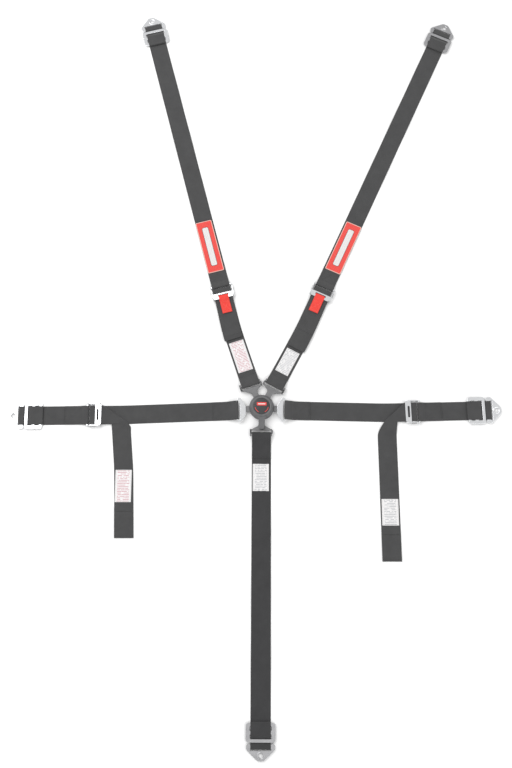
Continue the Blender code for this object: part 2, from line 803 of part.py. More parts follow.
def bezier(a, b, c, d, t):
    """Point on a cubic curve."""
    u = 1.0 - t
    return a * u**3 + b * (3.0 * t * u * u) + c * (3.0 * t * t * u) + d * t**3


def lap_tail(side, run, spec):
    """Free end of a lap strap: folded over on the slant and hanging down towards -Y.

    The edge called one passes the upper end of the slanting crease, the edge called other its lower end.
    """
    adjuster = spec["adjuster"] * MM
    high = GRIP_Z + GRIP_TURN
    top_sign = 1.0 if side.startswith("right") else -1.0
    up = Vector((0.0, 0.0, 1.0))
    stations = []
    for offset, z in ((9.0 * MM, high), (0.0, high - 0.3 * MM), (-4.0 * MM, high - 1.0 * MM)):
        one = run.place(adjuster + offset, top_sign * WEB_WIDTH / 2, z)
        other = run.place(adjuster + offset, -top_sign * WEB_WIDTH / 2, z)
        stations.append((one, other, up))

    # The crease: half a turn about the slanting line, higher at its upper end.
    upper, lower = (Vector((x, y, 0.0)) * MM for x, y in spec["fold"])
    crease = (lower - upper).normalized()
    toward_buckle = Vector((-crease.y, crease.x, 0.0)) * -top_sign
    radius = (LAYER_3 - LAYER_2) / 2
    for spoke in range(5):
        angle = math.radians(-90.0 + 45.0 * spoke)
        step = toward_buckle * (radius * math.cos(angle))
        lift = LAYER_2 + radius + radius * math.sin(angle)
        normal = -(toward_buckle * math.cos(angle) + up * math.sin(angle))
        stations.append((upper + step + up * (lift + FOLD_RISE), lower + step + up * lift, normal))

    # The flap: from the crease over the edge of the strap and down to the ground.
    hang = [Vector((x, y, 0.0)) * MM for x, y in spec["hang"]]
    across = Vector((WEB_WIDTH / 2, 0.0, 0.0)) * top_sign
    down = Vector((0.0, -1.0, 0.0))
    one_end = hang[0] + across
    other_end = hang[0] - across
    one_leave = upper - across * 0.5 + down * (12.0 * MM)
    one_arrive = one_end - down * (35.0 * MM)
    other_leave = lower - across * 0.3 + down * (10.0 * MM)
    other_arrive = other_end - down * (14.0 * MM)
    one_heights = (0.80, 0.60, 0.40, 0.20)
    for k in range(1, 7):
        t = k / 6.0
        one = bezier(upper, one_leave, one_arrive, one_end, t)
        other = bezier(lower, other_leave, other_arrive, other_end, t)
        one.z = LAYER_1
        if k <= 4:
            one.z = LAYER_3 + FOLD_RISE * one_heights[k - 1]
        if k == 5:
            one.z = 3.0 * MM
        other.z = LAYER_3 - (LAYER_3 - LAYER_1) * max(0.0, (t - 0.3) / 0.7) ** 1.5
        stations.append((one, other, -up))
    for t in (0.33, 0.66, 1.0):
        middle = hang[0].lerp(hang[1], t)
        middle.z = LAYER_1
        stations.append((middle + across, middle - across, -up))

    # The hem: the end is turned over and sewn down underneath.
    end = hang[2].y
    hem = end + spec["hem"] * MM
    radius = (LAYER_2 - LAYER_1) / 2
    drift = (hang[2].x - hang[1].x) / (hang[2].y - hang[1].y)
    for y, z in ((hem + 8.0 * MM, LAYER_1), (hem - 4.0 * MM, LAYER_2), (end + radius, LAYER_2)):
        middle = Vector((hang[1].x + drift * (y - hang[1].y), y, z))
        stations.append((middle + across, middle - across, -up))
    for spoke in range(1, 5):
        angle = math.radians(90.0 + 45.0 * spoke)
        y = end + radius - radius * math.sin(math.radians(45.0 * spoke))
        middle = Vector((hang[2].x, y, LAYER_1 + radius + radius * math.sin(angle)))
        normal = Vector((0.0, -math.cos(angle), -math.sin(angle)))
        stations.append((middle + across, middle - across, normal))
    middle = Vector((hang[1].x + drift * (hem - hang[1].y), hem - 5.0 * MM, LAYER_1))
    stations.append((middle + across, middle - across, up))

    home = run.matrix(adjuster)
    back = home.inverted()
    turn = back.to_3x3()
    local = [(back @ one, back @ other, turn @ normal) for one, other, normal in stations]
    mesh = ribbon_mesh(side + "_strap_tail", local, WEB)
    add_object(side + "_strap_tail", mesh, "webbing", home, run.far)


def anchor_strap(side, run, spec):
    """Strap sewn round the adjuster's rear bar and led to the slide and the bracket."""
    rear = spec["adjuster"] * MM + REAR_AT
    slide = spec["slide"] * MM
    low = [(rear + FRAME_OVERLAP, LAYER_1), (rear + 8.0 * MM, LAYER_1 + 0.1 * MM)]
    high = [(rear + FRAME_OVERLAP, LAYER_2), (rear + 24.0 * MM, LAYER_2)]
    high += [(rear + 15.0 * MM, 3.8 * MM), (rear + 6.0 * MM, 7.0 * MM)]
    if "shoulder" in side:
        profile = low + arc((rear, REAR_Z), REAR_TURN, -90.0, -270.0, 6) + list(reversed(high))
        profile.append((rear + FRAME_OVERLAP + 10.0 * MM, LAYER_1))
    else:
        profile = high + arc((rear, REAR_Z), REAR_TURN, 90.0, 270.0, 6) + list(reversed(low))
    start = profile[-1]
    profile += spaced(start[0], start[1], slide - 6.0 * MM, LAYER_1, 120.0 * MM)
    profile += anchor_end(slide)
    home = run.matrix(rear, REAR_Z)
    mesh = ribbon_mesh(side + "_anchor_strap", run_stations(run, profile, home), WEB)
    add_object(side + "_anchor_strap", mesh, "webbing", home, run.far)


def crotch_strap(run, spec):
    """Crotch strap: sewn round its tongue, and led to its slide and bracket."""
    slide = spec["slide"] * MM
    profile = strap_head(run.bar_z, True, TOP_OVERLAP)
    last = profile[-1]
    profile += spaced(last[0], last[1], slide - 6.0 * MM, LAYER_1, 120.0 * MM)
    profile += anchor_end(slide)
    home = run.matrix(0.0, run.bar_z)
    mesh = ribbon_mesh("crotch_strap", run_stations(run, profile, home), WEB)
    add_object("crotch_strap", mesh, "webbing", home, run.root)


# ---------------------------------------------------------------- hardware on the straps


def adjuster_frame(side, run, spec):
    """Adjuster body: two side walls, the slotted lip and the fixed rear bar."""
    wall_y = WALL_IN + WALL
    corners = [
        (1.0 * MM, 5.0 * MM, 2.0 * MM),
        (8.0 * MM, WALL_Z[0], 2.5 * MM),
        (WALL_END, WALL_Z[0], 2.5 * MM),
        (WALL_END, 8.6 * MM, 4.0 * MM),
        (30.0 * MM, WALL_Z[1], 5.0 * MM),
        (8.0 * MM, WALL_Z[1], 3.0 * MM),
        (1.0 * MM, LIP_Z[1], 0.8 * MM),
    ]
    play = 0.3 * MM
    window = rectangle(
        GRIP_AT - GRIP_SIZE[0] / 2 - GRIP_TRAVEL - play,
        GRIP_AT + GRIP_SIZE[0] / 2 + play,
        GRIP_Z - GRIP_SIZE[1] / 2 - play,
        GRIP_Z + GRIP_SIZE[1] / 2 + play,
    )
    walls = []
    for near in (-wall_y, WALL_IN):
        wall = stand_up(plate_mesh("wall", rounded(corners, 3), [window], -near - WALL, -near))
        walls.append(wall)
    lip_half = wall_y - 0.4 * MM
    nose = 25.0 * MM
    lip_corners = [
        (0.0, -nose, 2.0 * MM),
        (0.0, nose, 2.0 * MM),
        (6.0 * MM, lip_half, 2.0 * MM),
        (LIP_DEPTH, lip_half, 1.0 * MM),
        (LIP_DEPTH, -lip_half, 1.0 * MM),
        (6.0 * MM, -lip_half, 2.0 * MM),
    ]
    half = LIP_SLOT_WIDTH / 2
    slot = rectangle(LIP_SLOT[0], LIP_SLOT[1], -half, half, 2.4 * MM)
    lip = plate_mesh("lip", rounded(lip_corners, 3), [slot], *LIP_Z)
    bar_x = REAR_SIZE[0] / 2
    bar_z = REAR_SIZE[1] / 2
    section = rectangle(REAR_AT - bar_x, REAR_AT + bar_x, REAR_Z - bar_z, REAR_Z + bar_z, 0.8 * MM, 2)
    bar = stand_up(plate_mesh("bar", section, [], -wall_y + 0.4 * MM, wall_y - 0.4 * MM))
    mesh = combine(lip, walls + [bar], "UNION")
    name = side + "_adjuster_frame"
    add_object(name, mesh, "chrome", run.matrix(spec["adjuster"] * MM), run.far)


def adjuster_bar(side, run, spec):
    """Knurled bar that slides in the side walls and grips the webbing."""
    half_x = GRIP_SIZE[0] / 2
    half_z = GRIP_SIZE[1] / 2
    teeth = 4
    pitch = (GRIP_SIZE[0] - 2.4 * MM) / teeth
    outline = [(-half_x, -half_z + 0.8 * MM), (-half_x + 0.8 * MM, -half_z)]
    outline += [(half_x - 0.8 * MM, -half_z), (half_x, -half_z + 0.8 * MM)]
    outline += [(half_x, half_z - 0.8 * MM), (half_x - 0.8 * MM, half_z - 0.4 * MM)]
    for k in range(teeth):
        right = half_x - 1.2 * MM - pitch * k
        outline.append((right - pitch / 2, half_z))
        outline.append((right - pitch, half_z - 0.4 * MM))
    outline.append((-half_x, half_z - 0.8 * MM))
    reach = WALL_IN + WALL + 1.2 * MM
    mesh = stand_up(plate_mesh("grip", outline, [], -reach, reach))
    home = run.matrix(spec["adjuster"] * MM + GRIP_AT, GRIP_Z)
    add_object(side + "_adjuster_bar", mesh, "steel", home, run.far)


def release_tab(side, run, spec):
    """Red webbing tab that hooks through the slot of the lip and lies over the tail."""
    half = 13.6 * MM
    tab = 1.4 * MM
    hook = (LIP_SLOT[0] + LIP_SLOT[1]) / 2
    path = [(hook, LIP_Z[0] + 0.5 * MM), (hook, 12.0 * MM)]
    path += arc((hook - 1.4 * MM, 12.0 * MM), 1.4 * MM, 0.0, 90.0, 4)[1:]
    path += [(1.0 * MM, 13.4 * MM), (-4.0 * MM, 12.6 * MM), (-12.0 * MM, 9.2 * MM)]
    path += [(-24.0 * MM, 6.0 * MM), (-42.0 * MM, 4.4 * MM)]
    home = Matrix.Translation((hook, 0.0, 11.2 * MM))
    stations = []
    for (x, z), normal in zip(path, profile_normals(path)):
        spot = Vector((x - hook, 0.0, z - 11.2 * MM))
        across = Vector((0.0, half, 0.0))
        stations.append((spot + across, spot - across, Vector((normal.x, 0.0, normal.y))))
    mesh = ribbon_mesh(side + "_release_tab", stations, tab)
    add_object(side + "_release_tab", mesh, "red", run.matrix(spec["adjuster"] * MM) @ home, run.far)


def three_bar_slide(side, run, spec, parent):
    """Flat frame with two windows, which holds the doubled webbing."""
    half = SLIDE_WIDTH / 2
    inner = WEB_WIDTH / 2 + 2.0 * MM
    outline = rectangle(0.0, SLIDE_LENGTH, -half, half, 7.0 * MM, 4)
    near = rectangle(NEAR_BAR, CENTRE_BAR[0], -inner, inner, 2.0 * MM, 2)
    far = rectangle(CENTRE_BAR[1], SLIDE_LENGTH - FAR_BAR, -inner, inner, 2.0 * MM, 2)
    mesh = plate_mesh(side + "_slide", outline, [near, far], *SLIDE_Z)
    finish = "zinc" if side in ("crotch", "right_shoulder") else "chrome"
    add_object(side + "_slide", mesh, finish, run.matrix(spec["slide"] * MM), parent)


def bracket(side, run, spec, parent):
    """Triangular anchor plate: webbing bar, slot and bolt hole."""
    half = BRACKET_WIDTH / 2
    rear = -BRACKET_BAR / 2
    reach = BOLT_AT + BRACKET_TIP_RADIUS
    corners = [
        (rear - 1.6 * MM, -half + 4.0 * MM, 4.0 * MM),
        (rear - 1.6 * MM, -SLOT_WIDTH / 2 - 1.0 * MM, 0.0),
        (rear, -SLOT_WIDTH / 2, 0.0),
        (rear, SLOT_WIDTH / 2, 0.0),
        (rear - 1.6 * MM, SLOT_WIDTH / 2 + 1.0 * MM, 0.0),
        (rear - 1.6 * MM, half - 4.0 * MM, 4.0 * MM),
        (6.0 * MM, half, 9.0 * MM),
        (reach, 7.5 * MM, 9.5 * MM),
        (reach, -7.5 * MM, 9.5 * MM),
        (6.0 * MM, -half, 9.0 * MM),
    ]
    slot_half = SLOT_WIDTH / 2
    slot = rectangle(-rear, -rear + BRACKET_SLOT, -slot_half, slot_half, 2.5 * MM, 2)
    hole = circle((BOLT_AT, 0.0), BOLT_HOLE_RADIUS, 24)
    thick = BRACKET_THICKNESS / 2
    mesh = plate_mesh(side + "_bracket", rounded(corners, 5), [slot, hole], -thick, thick)
    finish = "zinc" if side in ("crotch", "right_shoulder") else "chrome"
    home = run.matrix(spec["slide"] * MM + PIVOT_AT, PIVOT_Z)
    add_object(side + "_bracket", mesh, finish, home, parent)


def flat_trim(name, finish, home, parent, length, width, z0, thickness):
    """Thin sewn-on rectangle: a label or a patch."""
    outline = rectangle(0.0, length, -width / 2, width / 2)
    mesh = plate_mesh(name, outline, [], z0, z0 + thickness)
    add_object(name, mesh, finish, home, parent)


def shoulder_label(name, run, start, stop, width):
    """Label that lies on the sewn overlap and reaches down onto the single layer."""
    high = LAYER_2 + WEB / 2 + GAP + LABEL / 2
    low = WEB + GAP + LABEL / 2
    step = SHOULDER_OVERLAP + 2.0 * MM
    home = run.matrix(start)
    back = home.inverted()
    stations = []
    for s, z in ((start, high), (step, high), (step + 12.0 * MM, low), (stop, low)):
        one = back @ run.place(s, width / 2, z)
        other = back @ run.place(s, -width / 2, z)
        stations.append((one, other, Vector((0.0, 0.0, 1.0))))
    add_object(name, ribbon_mesh(name, stations, LABEL), "label", home, run.root)


def labels_and_patches(side, run, spec):
    """Sewn labels, and the red patch of a shoulder strap. They carry no text."""
    start, stop, width = (value * MM for value in spec["label"])
    over = WEB + GAP
    name = side + "_label"
    if "lap" in side:
        hang = [Vector((x, y, 0.0)) * MM for x, y in spec["hang"]]
        share = (start - hang[1].y) / (hang[2].y - hang[1].y)
        turn = Matrix.Rotation(math.radians(-90.0), 4, "Z")
        home = Matrix.Translation((hang[1].lerp(hang[2], share).x, start, 0.0)) @ turn
        flat_trim(name, "label", home, run.far, start - stop, width, over, LABEL)
    if side == "crotch":
        home = run.matrix(start) @ Matrix.Translation((0.0, spec["label_shift"] * MM, 0.0))
        flat_trim(name, "label", home, run.root, stop - start, width, over, LABEL)
    if "patch" in spec:
        shoulder_label(name, run, start, stop, width)
        first, last = (value * MM for value in spec["patch"])
        sign = 1.0 if side.startswith("left") else -1.0
        home = run.matrix(first) @ Matrix.Translation((0.0, sign * spec["patch_shift"] * MM, 0.0))
        low = LAYER_2 + WEB / 2 + GAP
        flat_trim(side + "_patch", "red", home, run.far, last - first, PATCH_WIDTH, low, PATCH)


# ---------------------------------------------------------------- the whole harness


def build_side(side, spec):
    """Build one strap with everything on it."""
    run = Run(spec)
    run.bar_z = sum(LAP_LOOP_Z) / 2 if "lap" in side else TONGUE_BAR_Z
    run.root = empty(side + "_bar_axis", run.matrix(0.0, run.bar_z))
    run.far = run.root
    if side == "crotch":
        plain_tongue(side, run, spec)
        crotch_strap(run, spec)
    else:
        run.far = empty(side + "_adjuster_axis", run.matrix(spec["adjuster"] * MM))
        adjustable_strap(side, run, spec)
        anchor_strap(side, run, spec)
        adjuster_frame(side, run, spec)
        adjuster_bar(side, run, spec)
    if "shoulder" in side:
        plain_tongue(side, run, spec)
        shoulder_tail(side, run, spec)
        release_tab(side, run, spec)
    if "lap" in side:
        lap_tongue(side, run, spec)
        lap_tail(side, run, spec)
    three_bar_slide(side, run, spec, run.far)
    bracket(side, run, spec, run.far)
    labels_and_patches(side, run, spec)


def build():
    """Build the harness."""
    clear_scene()
    buckle_base()
    buckle_housing()
    centre_pivot()
    return_spring()
    latch_pins()
    cam_plate()
    release_lever()
    lever_badge()
    for side, spec in RUNS.items():
        build_side(side, spec)


build()
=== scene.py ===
"""Looks of the five-point racing harness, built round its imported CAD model.

Every strap follows a run: a line over the ground that starts on the webbing bar of its tongue and
leads outward. Distances along a run are called s, distances across it are called v. The sizes below
are those of the CAD model, except where a comment says otherwise. Places come from its joints and
nodes, apart from those of the lap tails.
"""
import json
import math

import bmesh
import bpy
from mathutils import Matrix, Vector


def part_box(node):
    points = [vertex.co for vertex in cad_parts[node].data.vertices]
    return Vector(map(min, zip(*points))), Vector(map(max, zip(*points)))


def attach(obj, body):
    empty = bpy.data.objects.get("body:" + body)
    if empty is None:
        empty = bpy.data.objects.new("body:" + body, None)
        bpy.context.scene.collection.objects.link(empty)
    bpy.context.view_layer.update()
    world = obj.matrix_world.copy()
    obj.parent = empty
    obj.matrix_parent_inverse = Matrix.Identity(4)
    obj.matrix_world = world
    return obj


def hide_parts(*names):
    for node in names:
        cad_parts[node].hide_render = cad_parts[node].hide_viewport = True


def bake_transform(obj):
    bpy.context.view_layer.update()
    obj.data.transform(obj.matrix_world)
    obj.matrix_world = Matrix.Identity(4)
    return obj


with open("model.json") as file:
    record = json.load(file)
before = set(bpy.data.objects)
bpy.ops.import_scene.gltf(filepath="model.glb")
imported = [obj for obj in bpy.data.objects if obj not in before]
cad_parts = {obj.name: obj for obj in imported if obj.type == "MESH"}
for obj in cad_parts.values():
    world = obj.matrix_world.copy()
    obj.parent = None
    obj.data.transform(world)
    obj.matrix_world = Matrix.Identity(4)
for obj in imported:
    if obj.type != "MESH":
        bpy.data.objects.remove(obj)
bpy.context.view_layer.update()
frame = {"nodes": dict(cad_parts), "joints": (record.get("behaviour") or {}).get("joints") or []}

NODES = frame["nodes"]
JOINTS = {joint["name"]: joint for joint in frame["joints"]}
SIDES = ("left_shoulder", "right_shoulder", "left_lap", "right_lap", "crotch")

MM = 0.001
UP = Vector((0.0, 0.0, 1.0))

# Webbing.
WEB_WIDTH = 50.8 * MM
WEB = 1.3 * MM
GAP = 0.3 * MM
LAYER_1 = WEB / 2
LAYER_2 = LAYER_1 + WEB + 0.2 * MM
LAYER_3 = LAYER_2 + WEB + 0.2 * MM
# The shoulder straps' tails stand higher than in the CAD, clear of the label they slide over.
TAIL_LOW = LAYER_2 + 2.5 * MM
TAIL_HIGH = TAIL_LOW + WEB + 0.2 * MM
BEND_LENGTH = 60.0 * MM
STATION = 7.0 * MM

# Places on the adjuster, outward from the front edge of its lip.
GRIP_AT = 23.5 * MM
GRIP_Z = 5.3 * MM
GRIP_WIDTH = 12.0 * MM
GRIP_TURN = 3.3 * MM
REAR_AT = 38.0 * MM
REAR_Z = 4.6 * MM
REAR_TURN = 3.65 * MM
LIP_TOP = 12.0 * MM
TAB_HOOK = 9.0 * MM
TAB_WIDTH = 27.2 * MM
TAB = 1.4 * MM

# Places on the anchor hardware, outward from the near edge of the three-bar slide.
PIVOT_AT = 55.5 * MM
BRACKET_THICKNESS = 2.8 * MM
BRACKET_BAR = 10.0 * MM
BOLT_AT = 21.8 * MM
BOLT_HOLE_RADIUS = 7.0 * MM

# Sewn overlaps, from the bar that the webbing turns round.
SHOULDER_OVERLAP = 52.0 * MM
TOP_OVERLAP = 66.0 * MM
FRAME_OVERLAP = 62.0 * MM
TONGUE_TURN = 3.35 * MM

# Tails of the shoulder straps: length of the hem, and how far the end lies off the strap's middle.
SHOULDER_TAILS = {
    "left_shoulder": {"hem": 14.0 * MM, "shift": 4.0 * MM},
    "right_shoulder": {"hem": 57.0 * MM, "shift": -3.0 * MM},
}

# Tails of the lap straps, in millimetres: the ends of the slanting crease, the middle line of the
# part that hangs down, and the length of its hem.
LAP_TAILS = {
    "left_lap": {
        "fold": ((-429.0, 5.0), (-359.0, -43.0)),
        "hang": ((-377.0, -64.0), (-367.0, -170.0), (-361.0, -346.0)),
        "hem": 78.0,
    },
    "right_lap": {
        "fold": ((384.0, 9.0), (331.0, -38.0)),
        "hang": ((337.0, -78.0), (338.0, -200.0), (339.0, -406.0)),
        "hem": 77.0,
    },
}
FOLD_RISE = 4.4 * MM

# Labels.
LABEL = 0.4 * MM
LABEL_STEPS = 24
LABEL_LIFT = 0.35 * MM

# Patches. The bar stands where the real patch has its lettering.
PATCH_HALF_LENGTH = 70.0 * MM
PATCH_BAR_HALF = 8.5 * MM
PATCH_BAR_SHARE = 0.76

# Sewing.
BOX_HALF = 19.5 * MM
TACK_HALF = 22.0 * MM
TACK_REACH = 0.9 * MM
TACK_STEP = 1.6 * MM
EDGE_MARGIN = 2.2 * MM
STITCH_PITCH = 3.2 * MM
STITCH_LENGTH = 2.5 * MM
STITCH_RADIUS = 0.32 * MM
FINE_STITCH_RADIUS = 0.2 * MM

# Rounded ears of a tongue, beside its webbing. The ears between the two shoulder tongues are
# narrow, and so is the crotch tongue's left one, seen along the strap.
EAR_FROM = -12.0 * MM
EAR_TO = 8.0 * MM
EAR_INNER = 26.1 * MM
EAR_WIDE = 5.1 * MM
EAR_NARROW = 2.2 * MM

# Buckle.
BADGE_TOP = 27.4 * MM
BADGE_ARC_DEG = 52.0
BADGE_ARC_RADII = (18.4 * MM, 17.0 * MM)
SCREWS_DEG = (35.0, 145.0, 228.0, 312.0)
SCREW_CIRCLE = 26.0 * MM

# Mesh detail: what counts as a corner, and the steps of a rounded one.
CORNER_DEG = 32.0
CORNER_STEPS = 4

# Studio, in metres. Each light has a place, a size and its watts.
FLOOR_HALF = 6.0
WORLD_STRENGTH = 0.8
LIGHTS = {
    "key": ((-1.6, 1.2, 2.8), 2.4, 60.0),
    "fill": ((1.8, -1.4, 2.6), 2.8, 25.0),
}
LIGHT_AIM = (0.0, 0.2, 0.0)
CAMERA_PLACE = (-0.0152, -0.4151, 2.1894)
CAMERA_TILT_DEG = 12.4
LENS_MM = 38.58


# ---- node helpers


class Finish:
    """A Principled material under construction."""

    def __init__(self, name, colour, rough, metal=0.0):
        self.material = bpy.data.materials.new(name)
        self.material.use_nodes = True
        self.tree = self.material.node_tree
        self.shader = self.tree.nodes["Principled BSDF"]
        self.look(Base_Color=(*colour, 1.0), Roughness=rough, Metallic=metal)
        self.material.diffuse_color = (*colour, 1.0)

    def node(self, kind, **inputs):
        """Add a node and set or link its inputs, given by name."""
        made = self.tree.nodes.new(kind)
        self.fill(made, inputs)
        return made

    def look(self, **inputs):
        """Set or link inputs of the shader, given by name."""
        self.fill(self.shader, inputs)

    def fill(self, node, inputs):
        """Set or link a node's inputs. A name has underscores for spaces."""
        for name, value in inputs.items():
            self.feed(node.inputs[name.replace("_", " ")], value)

    def feed(self, socket, value):
        """Link a socket to an input, or set the input to a value."""
        if isinstance(value, bpy.types.NodeSocket):
            self.tree.links.new(value, socket)
        else:
            socket.default_value = value

    def math(self, operation, first, second=0.0, third=None):
        """Add one Math node and return its result."""
        made = self.tree.nodes.new("ShaderNodeMath")
        made.operation = operation
        for socket, value in zip(made.inputs, (first, second, third)):
            if value is not None:
                self.feed(socket, value)
        return made.outputs[0]

    def times(self, first, second):
        """Product of two values."""
        return self.math("MULTIPLY", first, second)

    def place(self):
        """Position in the object, in millimetres."""
        where = self.node("ShaderNodeTexCoord").outputs["Object"]
        scaled = self.tree.nodes.new("ShaderNodeVectorMath")
        scaled.operation = "SCALE"
        self.feed(scaled.inputs[0], where)
        scaled.inputs["Scale"].default_value = 1.0 / MM
        return scaled.outputs[0]

    def cloth_place(self):
        """Distance across and along the cloth, in millimetres."""
        chart = self.tree.nodes.new("ShaderNodeUVMap")
        chart.uv_map = "cloth"
        split = self.node("ShaderNodeSeparateXYZ", Vector=chart.outputs["UV"])
        return self.times(split.outputs["X"], 1.0 / MM), self.times(split.outputs["Y"], 1.0 / MM)

    def noise(self, where, per_mm, detail=3.0, rough=0.5):
        """Cloudy variation from 0 to 1."""
        return self.node(
            "ShaderNodeTexNoise", Vector=where, Scale=per_mm, Detail=detail, Roughness=rough
        ).outputs["Fac"]

    def blend_colour(self, share, first, second):
        """Mix of two colours or colour sockets by a share from 0 to 1."""
        made = self.tree.nodes.new("ShaderNodeMix")
        made.data_type = "RGBA"
        self.feed(made.inputs["Factor"], share)
        for socket, value in ((made.inputs[6], first), (made.inputs[7], second)):
            self.feed(socket, value if isinstance(value, bpy.types.NodeSocket) else (*value, 1.0))
        return made.outputs[2]

    def ranged(self, value, low, high):
        """Scale a value from 0 to 1 so that it runs from low to high."""
        return self.math("MULTIPLY_ADD", value, high - low, low)

    def bump(self, height, depth_mm, strength=1.0):
        """Raise the surface by up to depth_mm where height is 1."""
        made = self.node("ShaderNodeBump", Height=height, Strength=strength, Distance=depth_mm * MM)
        self.look(Normal=made.outputs["Normal"])


def woven(finish, across, along, column_mm, pick_mm):
    """Height of a herringbone weave, from 0 to 1."""
    column = finish.math("ABSOLUTE", finish.math("SINE", finish.times(across, math.pi / column_mm)))
    zigzag = finish.math("PINGPONG", across, column_mm)
    slope = finish.times(zigzag, 1.0 / column_mm)
    phase = finish.math("ADD", finish.math("DIVIDE", along, pick_mm), slope)
    thread = finish.math("SINE", finish.times(phase, 2.0 * math.pi))
    thread = finish.math("MULTIPLY_ADD", thread, 0.5, 0.5)
    return finish.math("MULTIPLY_ADD", thread, 0.6, finish.times(column, 0.4))


def webbing_finish(name, colour, light):
    """Polyester webbing: herringbone weave with painted shade in its grooves, paler ribs, and uneven dye.
    """
    finish = Finish(name, colour, 0.82)
    across, along = finish.cloth_place()
    weave = woven(finish, across, along, 1.6, 1.1)
    cloud = finish.noise(finish.place(), 0.035, 4.0, 0.6)
    # Painted shade: the weave's grooves are darker and its ribs paler; the cloud adds uneven dye.
    share = finish.math("MULTIPLY_ADD", weave, 0.45, finish.times(cloud, 0.55))
    dark = tuple(channel * 0.72 for channel in colour)
    fuzz = finish.noise(finish.place(), 1.4, 2.0)
    finish.look(Base_Color=finish.blend_colour(share, dark, light))
    finish.look(Roughness=finish.ranged(fuzz, 0.72, 0.95), Specular_IOR_Level=0.3)
    finish.look(Sheen_Weight=0.25, Sheen_Roughness=0.45)
    finish.bump(finish.math("MULTIPLY_ADD", fuzz, 0.2, weave), 0.22)
    return finish.material


def thread_finish(name, colour):
    """Twisted sewing thread."""
    finish = Finish(name, colour, 0.6)
    strand = finish.noise(finish.place(), 2.5, 3.0)
    dark = tuple(channel * 0.7 for channel in colour)
    finish.look(Base_Color=finish.blend_colour(strand, dark, colour), Sheen_Weight=0.3)
    finish.bump(strand, 0.08)
    return finish.material


def embroidered_finish(name, colour, gap_shade_colour):
    """Satin-stitched cloth: rows of thread across the patch, with painted shade between the rows."""
    finish = Finish(name, colour, 0.55)
    across, along = finish.cloth_place()
    row = finish.math("SINE", finish.times(along, 2.0 * math.pi / 0.7))
    offset = finish.times(finish.math("PINGPONG", along, 0.35), 7.0)
    end = finish.math("SINE", finish.times(finish.math("ADD", across, offset), 2.0 * math.pi / 5.0))
    height = finish.math("MULTIPLY_ADD", row, 0.35, 0.5)
    height = finish.math("MULTIPLY_ADD", end, 0.15, height)
    # Painted shade: the colour goes darker where the satin dips between rows.
    finish.look(Base_Color=finish.blend_colour(height, gap_shade_colour, colour), Sheen_Weight=0.35)
    finish.bump(height, 0.25)
    return finish.material


def label_finish(name, print_colour):
    """Satin label with broken ruled lines instead of lettering."""
    paper = (0.74, 0.73, 0.73)
    finish = Finish(name, paper, 0.5)
    across, along = finish.cloth_place()
    line = finish.math("GREATER_THAN", finish.math("PINGPONG", along, 2.1), 1.35)
    margin = finish.math("LESS_THAN", finish.math("ABSOLUTE", across), 16.0)
    broken = finish.math("GREATER_THAN", finish.noise(finish.place(), 0.22, 1.0), 0.42)
    ink = finish.times(finish.times(line, margin), broken)
    finish.look(Base_Color=finish.blend_colour(ink, paper, print_colour), Sheen_Weight=0.2)
    satin = finish.math("SINE", finish.times(across, 2.0 * math.pi / 0.5))
    finish.bump(finish.math("MULTIPLY_ADD", satin, 0.5, 0.5), 0.04)
    return finish.material


def metal_finish(name, colour, worn, rough, spread, grain_mm):
    """Plated or cast metal: cloudy gloss, a fine grain and slight staining."""
    finish = Finish(name, colour, rough, 1.0)
    where = finish.place()
    cloud = finish.noise(where, 0.09, 4.0, 0.6)
    grain = finish.noise(where, 1.0 / grain_mm, 3.0, 0.7)
    finish.look(Base_Color=finish.blend_colour(cloud, worn, colour))
    mixed = finish.math("MULTIPLY_ADD", grain, 0.4, finish.times(cloud, 0.6))
    finish.look(Roughness=finish.ranged(mixed, rough - spread, rough + spread))
    finish.bump(grain, 0.05, 0.6)
    return finish.material


def painted_finish(name, colour, light, rough, coat, grain_mm, depth_mm):
    """Powder coat or enamel: orange-peel surface with paler rubbed areas."""
    finish = Finish(name, colour, rough)
    where = finish.place()
    cloud = finish.noise(where, 0.12, 4.0, 0.65)
    peel = finish.noise(where, 1.0 / grain_mm, 2.0)
    rubbed = finish.math("POWER", cloud, 2.5)
    finish.look(Base_Color=finish.blend_colour(rubbed, colour, light))
    finish.look(Roughness=finish.ranged(cloud, rough - 0.08, rough + 0.12))
    finish.look(Coat_Weight=coat, Coat_Roughness=0.2)
    finish.bump(peel, depth_mm)
    return finish.material


WEBBING = webbing_finish("webbing_charcoal", (0.046, 0.046, 0.047), (0.078, 0.078, 0.079))
WEBBING_DARK = webbing_finish("webbing_black", (0.030, 0.030, 0.031), (0.055, 0.055, 0.057))
TAB_RED = webbing_finish("tab_red", (0.75, 0.035, 0.028), (0.95, 0.085, 0.065))
THREAD_DARK = thread_finish("thread_black", (0.014, 0.014, 0.015))
THREAD_RED = thread_finish("thread_red", (0.95, 0.20, 0.13))
THREAD_PALE = thread_finish("thread_pale", (0.85, 0.52, 0.45))
PATCH_RED = embroidered_finish("patch_red", (0.92, 0.075, 0.055), (0.62, 0.03, 0.025))
PATCH_WHITE = embroidered_finish("patch_white", (0.85, 0.84, 0.83), (0.6, 0.58, 0.57))
LABEL_PINK = label_finish("label_pink", (0.5, 0.2, 0.24))
LABEL_GREY = label_finish("label_grey", (0.33, 0.34, 0.36))
CHROME = metal_finish("chrome", (0.86, 0.87, 0.88), (0.72, 0.73, 0.75), 0.16, 0.06, 0.35)
ZINC = metal_finish("zinc", (0.50, 0.50, 0.51), (0.36, 0.36, 0.37), 0.36, 0.10, 0.5)
STEEL = metal_finish("steel", (0.48, 0.48, 0.48), (0.34, 0.34, 0.35), 0.34, 0.08, 0.3)
TONGUE = metal_finish("tongue_grey", (0.205, 0.205, 0.208), (0.145, 0.145, 0.148), 0.42, 0.08, 0.4)
CAST = painted_finish("buckle_cast", (0.085, 0.085, 0.088), (0.17, 0.17, 0.175), 0.42, 0.2, 0.5, 0.06)
BADGE = painted_finish("badge_black", (0.016, 0.016, 0.018), (0.035, 0.035, 0.037), 0.28, 0.5, 0.8, 0.01)
